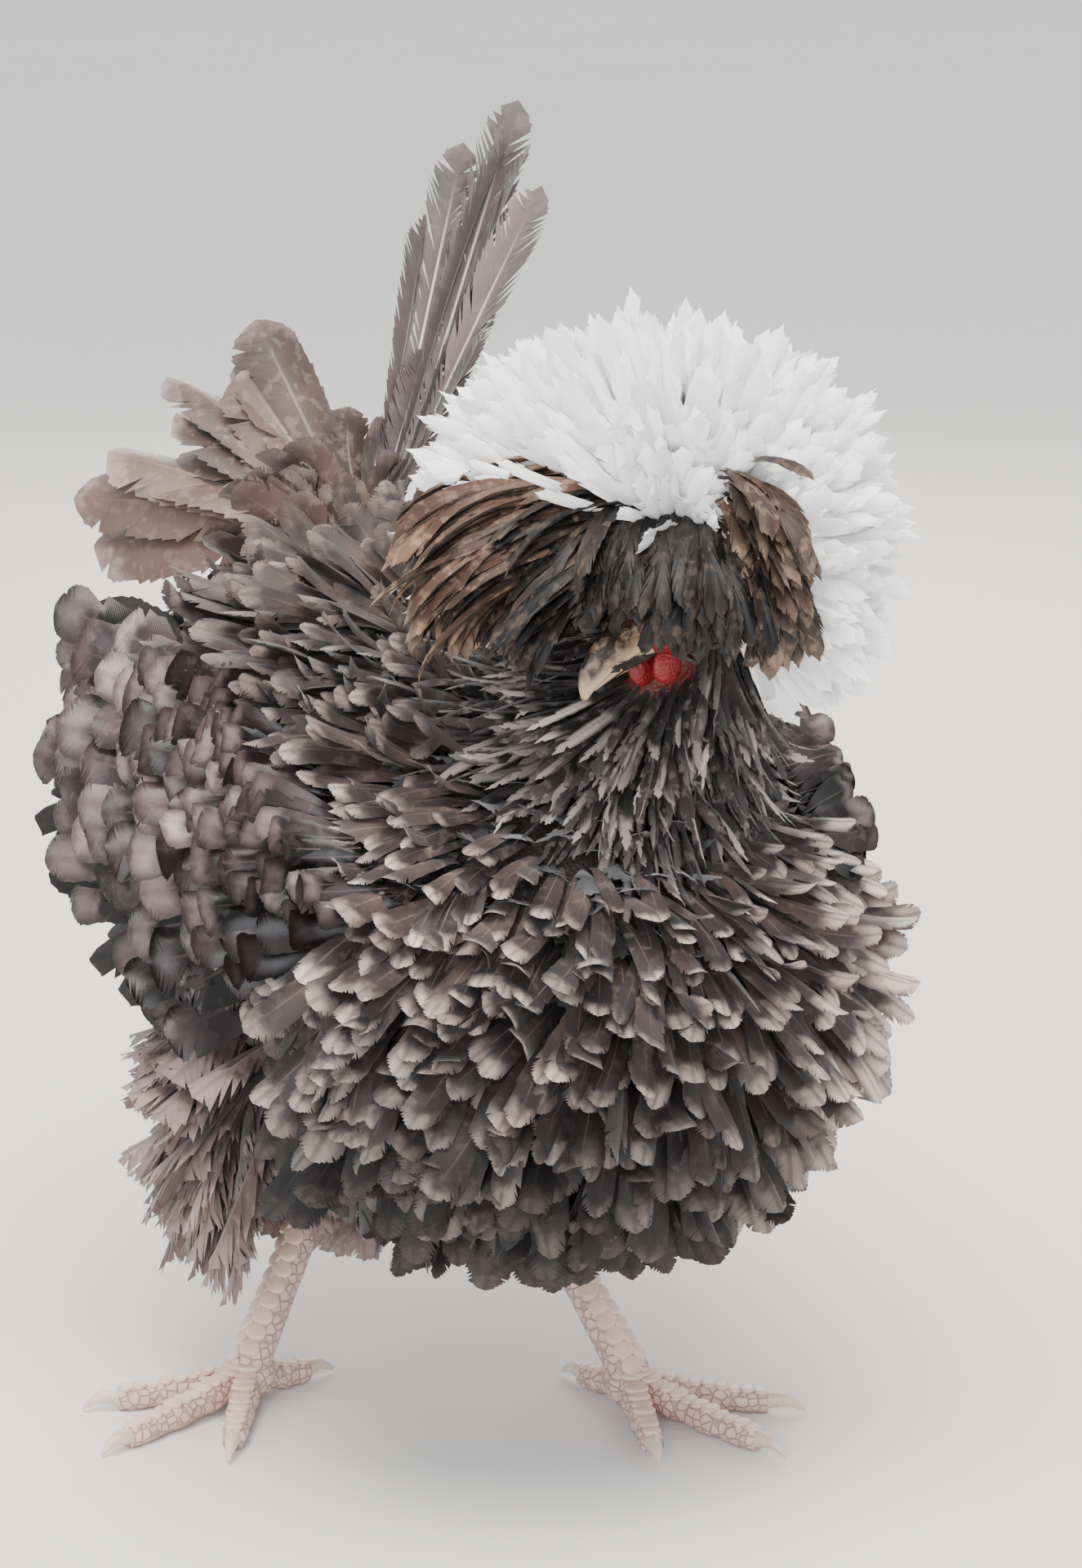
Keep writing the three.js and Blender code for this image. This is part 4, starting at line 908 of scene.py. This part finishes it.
for i in range(FACE_FEATHERS):
    high = 1 - 2 * (i + 0.5) / FACE_FEATHERS
    turn = i * GOLDEN
    d = Vector((math.cos(turn) * math.sqrt(1 - high**2), math.sin(turn) * math.sqrt(1 - high**2), high))
    if (d.x > 0.05 and abs(d.y) > 0.2 and d.z > -0.75) or d.x > 0.55:
        continue  # the bare face and the bill
    normal = (HEAD_FORWARD * d.x / 20.6 + HEAD_LEFT * d.y / 13.2 + HEAD_UP * d.z / 15.2).normalized()
    way = -HEAD_FORWARD * 0.9 - HEAD_UP * 0.35
    way = (way - normal * way.dot(normal)).normalized()
    along = raised(way, normal, rng.gauss(34, 8))[0]
    marks = (rng.gauss(0.2, 0.15), rng.uniform(0, 0.4), rng.uniform(0.1, 0.3), rng.uniform(0.7, 1.1))
    size = (11 + 9 * max(0, -d.x) + rng.uniform(-2, 2), rng.uniform(2.6, 4.2), 0.2)
    hackle_feathers.append(feather(
        in_head(d.x * 20, d.y * 12.6, d.z * 14.6), along, normal, size,
        (-14, rng.gauss(0, 12), rng.gauss(0, 18)), marks, unwrap("neck", 0.97 + 0.02 * high, turn / math.tau),
    ))
POINTED_TIP = ((0, 0.12, 0.35, 0.6, 0.8, 0.92, 1), (0.1, 0.5, 0.9, 1.0, 0.8, 0.5, 0.0))
POINTED_LEVELS = (0, 0.2, 0.4, 0.56, 0.68, 0.78, 0.86, 0.93, 1)
pointed_patterns = cut_patterns(POINTED_TIP, 0.75, 0.3, 0.08, 7, POINTED_LEVELS, variants=6, fringe=0.5)
coat_piece("neck_hackles", pointed_patterns, hackle_feathers, 0.3, hackle_finish, "neck")


# Wings: folded and held a little off the body, each with a row of dark quills below and tiers of broad
# coverts above, which curl outwards. All are rooted in the arm.
# Covert vanes are firm and closed, so that they are the glossiest. On most, the pale centre of the tip is a
# painted highlight, and its dark sides and end are painted shade where the curled vane turns from the light.
# Quills are smooth and near black.
covert_finish = feather_finish(
    "wing_covert", dark="#120c0e", brown="#4c3a3c", pale="#b39f9c", down="#1d1718", shaft="#6d5b58",
    roughness=0.25, bar=0.5, fleck=0.1, sheen=0.05, streak=0.2, rim=0.8, end_shade=0.7,
)
quill_finish = feather_finish(
    "wing_quill", dark="#070506", brown="#1c1515", pale="#5c4e4a", down="#110e0e", shaft="#110d0d",
    roughness=0.36, bar=0.2, fleck=0.05, sheen=0.02,
)
QUILL_OUTLINE = ((0, 0.08, 0.25, 0.6, 0.85, 0.94, 0.98, 1), (0.1, 0.45, 0.85, 1.0, 0.92, 0.66, 0.36, 0.0))
QUILL_LEVELS = tuple(i / 19 for i in range(19)) + (1,)
QUILLS = 17
COVERT_TIERS = [  # share down the quills, length, lift, tip curl, width
    (0.62, 43, 9, 26, 19), (0.5, 44, 12, 30, 19), (0.38, 44, 15, 34, 19), (0.27, 42, 20, 38, 18),
    (0.17, 38, 26, 40, 16.5), (0.08, 35, 32, 42, 14.5), (0.0, 31, 38, 42, 13), (-0.07, 28, 44, 42, 12),
    (-0.14, 26, 50, 42, 11),
]


def quill_line(sign, t):
    """(root, tip, way out) of the quill at share t along the arm, from the lowest to the highest."""
    root, outward = on_arm(sign, 0.06 + 0.9 * t, 4 + 5 * t)
    tip = Vector((4 + sign * (80 + 14 * math.sin(math.pi * t)), 62 + 50 * min(1, 1.5 * t), 104 + 122 * t))
    return root, tip, outward


covert_patterns = cut_patterns(ROUND_TIP, 0.4, 0.07, 0.14, 13, variants=7, fringe=0.12)
quill_patterns = cut_patterns(QUILL_OUTLINE, 0.6, 0.2, 0.09, 17, QUILL_LEVELS)
for side, leg in LEGS.items():
    sign = leg["sign"]
    rng = random.Random(31)
    quills, coverts = [], []
    for i in range(QUILLS):
        t = i / (QUILLS - 1)
        root, tip, outward = quill_line(sign, t)
        reach = tip - root + Vector([rng.gauss(0, 2) for _ in range(3)])
        brown = rng.gauss(0.1 + 0.9 * t, 0.15)
        marks = (brown, rng.uniform(0, 0.35), rng.uniform(0.05, 0.12), rng.uniform(0.9, 1.2))
        curve = (4 + rng.gauss(0, 3), rng.uniform(-8, 20), -sign * 12)
        place = unwrap(f"wing_{side}", 0.1, t)
        quills.append(feather(root, reach, outward, (reach.length * 1.03, 19, 0.15), curve, marks, place))
    for tier, (drop, length, lift, curl, width) in enumerate(COVERT_TIERS):
        count = 15 + 2 * max(0, tier - 3)
        for i in range(count):
            t = min(1.0, (i + 0.5 * (tier % 2) + rng.gauss(0, 0.12)) / (count - 0.5))
            root, tip, outward = quill_line(sign, max(0.0, t))
            way = (tip - root).normalized()
            face = (outward * 0.5 + Vector((sign, -0.25, 0.2))).normalized()
            face = (face - way * face.dot(way)).normalized()
            tilt = lift + rng.gauss(0, 4)
            along, up = raised(Quaternion(face, rng.gauss(0, 0.16)) @ way, face, tilt)
            edged = rng.random() < 0.06
            # The pale share is a painted highlight on most coverts, and a pale tip of their own on the edged
            # few.
            marks = (
                rng.gauss(0.6 if t > 0.25 else 0.2, 0.3), 1.0 if edged else rng.uniform(0.0, 0.7),
                rng.uniform(0.16, 0.34), rng.uniform(0.6, 1.15) * min(1.0, 0.3 + 1.5 * t),
            )
            coverts.append(feather(
                root + (tip - root) * drop + face * (2 + 5 * (1 - drop)), along, up,
                (length * rng.uniform(0.86, 1.1), width * rng.uniform(0.8, 1.15), rng.uniform(0.3, 0.6)),
                (6 + rng.gauss(0, 8), rng.uniform(0.1, 1.3) * curl, rng.gauss(0, 16)), marks,
                unwrap(f"wing_{side}", 0.2 + 0.08 * tier, t),
            ))
    wing = f"wing_{side}"
    coat_piece(f"wing_quills_{side}", quill_patterns, quills, 0.8, quill_finish, wing)
    coat_piece(f"wing_coverts_{side}", covert_patterns, coverts, 0.5, covert_finish, wing)


# Thighs and belly fluff: long loose feathers that hang like hair over the legs. They are rooted in the thigh
# and beside the hip.
# Their barbs don't hold together, so that they are soft, matt and ragged, mauve brown and paler at the ends.
fluff_finish = feather_finish(
    "loose_fluff", dark="#231b1a", brown="#5f4c47", pale="#a5908a", down="#3b302d", shaft="#80706a",
    roughness=0.6, bar=0.2, fleck=0.25, sheen=0.15, streak=0.3,
)
LOOSE_OUTLINE = ((0, 0.15, 0.45, 0.8, 0.95, 1), (0.1, 0.5, 1.0, 0.9, 0.5, 0.0))
LOOSE_LEVELS = (0, 0.14, 0.27, 0.39, 0.5, 0.6, 0.69, 0.77, 0.84, 0.9, 0.95, 1)
loose_patterns = cut_patterns(LOOSE_OUTLINE, 0.8, 0.6, 0.24, 19, LOOSE_LEVELS)
THIGH_RINGS = 9
HIP_LOCKS = 170
for side, leg in LEGS.items():
    sign = leg["sign"]
    rng = random.Random(37)
    locks = []
    for ring in range(THIGH_RINGS):
        t = 0.06 + 0.1 * ring
        centre, down = along_path(thigh_path(leg), t)
        radius = step_between(THIGH_RADII, t)
        count = 22 if t < 0.7 else 16
        first = (Vector((0, -1, 0)) - down * -down.y).normalized()
        for i in range(count):
            turn = math.tau * (i + 0.5 * (ring % 2) + rng.gauss(0, 0.12)) / count
            outward = first * math.cos(turn) + down.cross(first) * math.sin(turn)
            along = raised(down, outward, rng.gauss(30, 6))[0] + Vector((0, 0.08, -0.2))
            length = (58 - 12 * t if sign < 0 else 46 - 14 * t) * rng.uniform(0.8, 1.05)
            brown = rng.gauss(0.7, 0.15)
            marks = (brown, rng.uniform(0.3, 0.9), rng.uniform(0.15, 0.35), rng.uniform(0.8, 1.15))
            locks.append(feather(
                centre + outward * (radius - 2), along, outward, (length, rng.uniform(10, 14), 0.3),
                (rng.gauss(-6, 8), rng.uniform(-20, 40), rng.gauss(0, 30)), marks,
                unwrap(f"thigh_{side}", t, turn / math.tau),
            ))
    outward = Vector((sign * 0.92, 0.38, 0)).normalized()
    for i in range(HIP_LOCKS):
        t = rng.random() ** 0.8
        along, up = raised(outward, Vector((0, 0, 1)), -(12 + 58 * t + rng.gauss(0, 4)))
        spread = Vector((sign * 20, 2 + 14 * t + rng.gauss(0, 9), 4 - 22 * t + rng.gauss(0, 6)))
        along += Vector((0, rng.gauss(0, 0.18), 0))
        marks = (rng.gauss(0.75, 0.12), rng.uniform(0.3, 1.0), rng.uniform(0.2, 0.4), rng.uniform(0.85, 1.2))
        length = (44 + (40 if sign < 0 else 22) * t) * rng.uniform(0.7, 1.0)
        locks.append(feather(
            Vector(leg["hip"]) + spread, along, up, (length, rng.uniform(12, 19), 0.5),
            (-16 + rng.gauss(0, 6), rng.uniform(-20, 30), rng.gauss(0, 20)), marks,
            unwrap(f"thigh_{side}", t, rng.random()),
        ))
    thigh = f"thigh_{side}"
    coat_piece(f"thigh_fluff_{side}", loose_patterns, locks, 0.3, fluff_finish, thigh)


# Tail: a few long upright quills with split vanes, a fan of broad loosened ones to her right, and short
# coverts round their root.
# Tail quills are stiff, dry and grey brown, with a pale horny shaft. The fan's vanes are softer and browner.
rectrix_finish = feather_finish(
    "tail_quill", dark="#3a3233", brown="#716163", pale="#9f9291", down="#544b4a", shaft="#d9d0cc",
    roughness=0.45, bar=0.1, fleck=0.1, sheen=0.2,
)
fan_finish = feather_finish(
    "tail_fan", dark="#41332f", brown="#7b635b", pale="#aa958e", down="#4a3f3c", shaft="#94817a",
    roughness=0.4, bar=0.3, fleck=0.3, sheen=0.15, streak=0.3,
)
SPLIT_OUTLINE = ((0, 0.12, 0.3, 0.6, 0.82, 0.93, 0.975, 1), (0.08, 0.3, 0.55, 0.9, 1.0, 0.8, 0.5, 0.0))
SPLIT_LEVELS = tuple(i / 38 for i in range(38)) + (1,)
split_patterns = cut_patterns(SPLIT_OUTLINE, 0.97, 0.6, 0.13, 41, SPLIT_LEVELS, variants=4)
fan_patterns = cut_patterns(QUILL_OUTLINE, 0.5, 0.1, 0.14, 43, QUILL_LEVELS, variants=6, fringe=0.15)
rng = random.Random(47)
upright, fanned = [], []
UPRIGHT_TIPS = [  # the tips of the upright quills, width and how far each is turned to her front
    ((77, 143, 373), 18, 0.9), ((66, 138, 368), 13, 0.4), ((62, 150, 360), 17, 1.0),
    ((75, 124, 349), 16, 0.8), ((76, 133, 362), 14, 0.2), ((48, 141, 340), 14, 0.5),
    ((58, 120, 318), 13, 0.9), ((54, 112, 308), 14, 0.3), ((38, 126, 300), 13, 0.7),
]
for i, (tip, width, turned) in enumerate(UPRIGHT_TIPS):
    t = i / (len(UPRIGHT_TIPS) - 1)
    root = TAIL_ROOT + Vector((4 - 6 * t, -2 + 4 * (i % 2), -8))
    reach = Vector(tip) - root
    marks = (rng.gauss(0.6, 0.2), rng.uniform(0.1, 0.5), 0.08, rng.uniform(0.9, 1.15))
    upright.append(feather(
        root, reach, Vector((0.9, -0.35, -0.3)).lerp(Vector((-0.4, -0.9, 0.1)), turned),
        (reach.length * 1.01, width, 0.35), (rng.gauss(0, 3), rng.uniform(-6, 10), rng.gauss(0, 12)),
        marks, unwrap("tail", 0.1, t),
    ))
FANNED = 15
for i in range(FANNED):
    t = i / (FANNED - 1)
    sweep = math.radians(10 + 68 * t + rng.gauss(0, 4))
    marks = (rng.gauss(0.6, 0.25), rng.uniform(0.2, 0.9), rng.uniform(0.06, 0.2), rng.uniform(0.75, 1.15))
    size = (153 * (0.64 - 0.17 * t) * rng.uniform(0.82, 1.06), rng.uniform(17, 26), 0.5)
    fanned.append(feather(
        TAIL_ROOT + Vector((-4 + 3 * t, 3, -2 + 3 * t)), (-0.74 * math.cos(sweep), 0.62, math.sin(sweep)),
        (-0.25, -0.55, 0.8), size, (-24 + rng.gauss(0, 9), rng.uniform(-60, 20), 12 + rng.gauss(0, 22)),
        marks, unwrap("tail", 0.3, t),
    ))
TAIL_COVERTS = 70
for i in range(TAIL_COVERTS):
    turn = i * GOLDEN
    back = (i + 0.5) / TAIL_COVERTS
    outward = Vector((math.cos(turn), 0.5 * math.sin(turn), 0.75 * math.sin(turn))).normalized()
    root = Vector((2, 74, 208)).lerp(Vector((8, 104, 242)), back) + outward * (19 - 9 * back)
    marks = (rng.gauss(0.45, 0.2), rng.uniform(0.1, 0.6), rng.uniform(0.1, 0.25), rng.uniform(0.8, 1.15))
    size = (rng.uniform(34, 48), rng.uniform(13, 18), 0.25)
    fanned.append(feather(
        root, outward * 0.75 + Vector((0, 0.45, 0.5)), outward, size,
        (14 + rng.gauss(0, 6), rng.uniform(0, 50), rng.gauss(0, 14)), marks,
        unwrap("tail", 0.5 + 0.45 * back, turn / math.tau),
    ))
coat_piece("tail_upright", split_patterns, upright, 0.9, rectrix_finish, "tail")
coat_piece("tail_fan", fan_patterns, fanned, 0.7, fan_finish, "tail")


# Crown of the crest: a dome of white feathers that grow from the knob on the skull. Shaken open, they stand
# in a wheel that faces her right front.
# White crest feathers are fine and soft, with a pale sheen at their edges, and cream at the root.
crown_finish = feather_finish(
    "white_crest", dark="#453f3d", brown="#f6f4f1", pale="#fefefe", down="#f3e4b4", shaft="#fdfcf8",
    roughness=0.6, bar=0.0, fleck=0.0, sheen=0.4, streak=0.0,
)
CREST_OUT = Vector((math.sin(VIEW_AZIMUTH), -math.cos(VIEW_AZIMUTH), math.tan(VIEW_ELEVATION))).normalized()
CREST_RIGHT = Vector((math.cos(VIEW_AZIMUTH), math.sin(VIEW_AZIMUTH), 0))
CREST_UP = CREST_OUT.cross(CREST_RIGHT)
CREST_CAP_RADIUS = 17
CREST_REACH = 64
CLUMP = math.radians(19)  # the feathers stand together in clumps this wide round the wheel


def on_wheel(right, up, out):
    """A step in the crest's own axes."""
    return CREST_RIGHT * right + CREST_UP * up + CREST_OUT * out


CROWN_LAYERS = [  # lean towards the front in degrees, from and to round the wheel, count, reach
    (-72, -140, 255, 100, 0.8), (-58, -70, 250, 135, 0.88), (-44, -60, 220, 165, 0.96),
    (-28, -54, 204, 220, 1.03), (-12, -50, 190, 240, 1.08), (4, -50, 184, 225, 1.08),
    (18, -48, 176, 185, 1.04), (32, -40, 165, 145, 0.95), (46, -20, 155, 100, 0.84),
    (60, 0, 150, 55, 0.7), (74, 10, 160, 32, 0.6),
]
rng = random.Random(53)
crown_feathers = []
for lean, start, stop, count, reach in CROWN_LAYERS:
    for i in range(count):
        turn = math.radians(start + (stop - start) * (i + rng.uniform(0, 1)) / count)
        clump = CLUMP * (round(turn / CLUMP + lean / 37) - lean / 37)
        off_clump = (turn - clump) / (CLUMP / 2)
        turn -= 0.35 * (turn - clump)
        tilt = lean + rng.gauss(0, 6)
        spoke = on_wheel(math.cos(turn), math.sin(turn), 0)
        along, up = raised(spoke, CREST_OUT, tilt)
        behind = max(0.0, -math.sin(math.radians(tilt)))
        along = (along - Vector((0, 0, 0.45)) * behind).normalized()  # the crest droops behind
        lobed = 1 + 0.05 * noise.noise(along * 4.0) + 0.05 * math.cos(off_clump * math.pi)
        length = CREST_REACH * reach - CREST_CAP_RADIUS + 13 * max(0.0, -math.cos(turn))
        length *= lobed * rng.uniform(0.86, 1.03)
        marked = rng.random() < (0.2 if lean > -20 and math.cos(turn) < -0.85 else 0.03)
        white = 0.12 if marked else rng.uniform(0.9, 1.1)
        marks = (white, 1.0, rng.uniform(0.3, 0.6), rng.uniform(0.95, 1.03))
        crown_feathers.append(feather(
            KNOB + along * (CREST_CAP_RADIUS - 4), along + spoke.cross(CREST_OUT) * rng.gauss(0, 0.14), up,
            (length, rng.uniform(3.4, 7.5), 0.4),
            (-16 + rng.gauss(0, 9), rng.gauss(-5, 24), rng.gauss(0, 25)), marks,
            unwrap("crown", (lean + 90) / 170, turn / math.tau), rng.gauss(0, 0.1),
        ))
CREST_OUTLINE = ((0, 0.15, 0.4, 0.65, 0.82, 0.93, 1), (0.12, 0.45, 0.85, 1.0, 0.84, 0.5, 0.0))
CREST_LEVELS = (0, 0.2, 0.36, 0.5, 0.6, 0.69, 0.77, 0.84, 0.9, 0.95, 1)
crown_patterns = cut_patterns(CREST_OUTLINE, 0.4, 0.3, 0.2, 59, CREST_LEVELS, variants=6)
coat_piece("crest_dome", crown_patterns, crown_feathers, 0.3, crown_finish, "crest_crown")


# Front of the crest: dark feathers that hang from the brow over the eyes, in a long sweep to her right, a
# shorter one to her left and a fringe between.
# They are the same soft feathers, near black and flecked with buff.
front_finish = feather_finish(
    "dark_crest", dark="#060404", brown="#65493a", pale="#c9aa90", down="#0d0908", shaft="#2f231d",
    roughness=0.5, bar=0.4, fleck=0.3, sheen=0.05, streak=0.2, rim=0.6,
)
FRONT_TUFTS = [  # roots from and to, ways from and to in the crest's axes, count, lengths, curl, brown, width
    ((8, 16, 10), (-6, 2, 18), (-1, 0.3, 0.05), (-1, -0.1, 0.35), 360, (62, 92), (-60, -115), 0.6, 6),
    ((2, 14, 14), (-8, -2, 20), (-1, 0.1, 0.3), (-0.9, -0.45, 0.6), 210, (36, 64), (-40, -90), 0.1, 5.5),
    ((-16, 10, 16), (-2, 7, 17), (-0.7, -0.5, 1), (-0.2, -0.55, 0.95), 170, (29, 42), (-55, -90), 0.0, 5),
    ((-2, 7, 17), (12, 4, 18), (-0.2, -0.55, 0.95), (0.3, -0.6, 0.9), 150, (33, 49), (-55, -90), 0.0, 5.5),
    ((4, 16, 13), (10, 2, 18), (0.4, 0.1, 0.7), (0.42, -0.75, 0.75), 170, (34, 56), (-60, -100), 0.3, 6.5),
]
rng = random.Random(61)
front_feathers = []
for root_a, root_b, way_a, way_b, count, lengths, curls, brown, width in FRONT_TUFTS:
    for i in range(count):
        t = rng.random()
        root = on_wheel(*root_a).lerp(on_wheel(*root_b), t)
        root += on_wheel(rng.gauss(0, 1.5), rng.gauss(0, 1.5), rng.gauss(0, 1))
        way = on_wheel(*way_a).lerp(on_wheel(*way_b), t)
        way += on_wheel(0, rng.gauss(0, 0.1), rng.gauss(0, 0.12))
        face = CREST_UP * (0.95 - 0.3 * t) + CREST_OUT * (0.35 + 0.6 * t)
        marks = (
            rng.gauss(1.4 * brown + 0.4 * (0.5 - t), 0.2), rng.uniform(0.0, 0.25 + brown),
            rng.uniform(0.06, 0.25), rng.uniform(0.6, 1.2) * (0.22 + 1.35 * brown),
        )
        front_feathers.append(feather(
            KNOB + root, way.normalized(), face, (rng.uniform(*lengths), width * rng.uniform(0.6, 1.15), 0.3),
            (-22 + rng.gauss(0, 6), rng.uniform(*curls), rng.gauss(0, 25)), marks,
            unwrap("front", t, rng.random()), rng.gauss(0, 0.08),
        ))
coat_piece(
    "crest_fringe", crown_patterns, front_feathers, 0.3, front_finish, "crest_front"
)
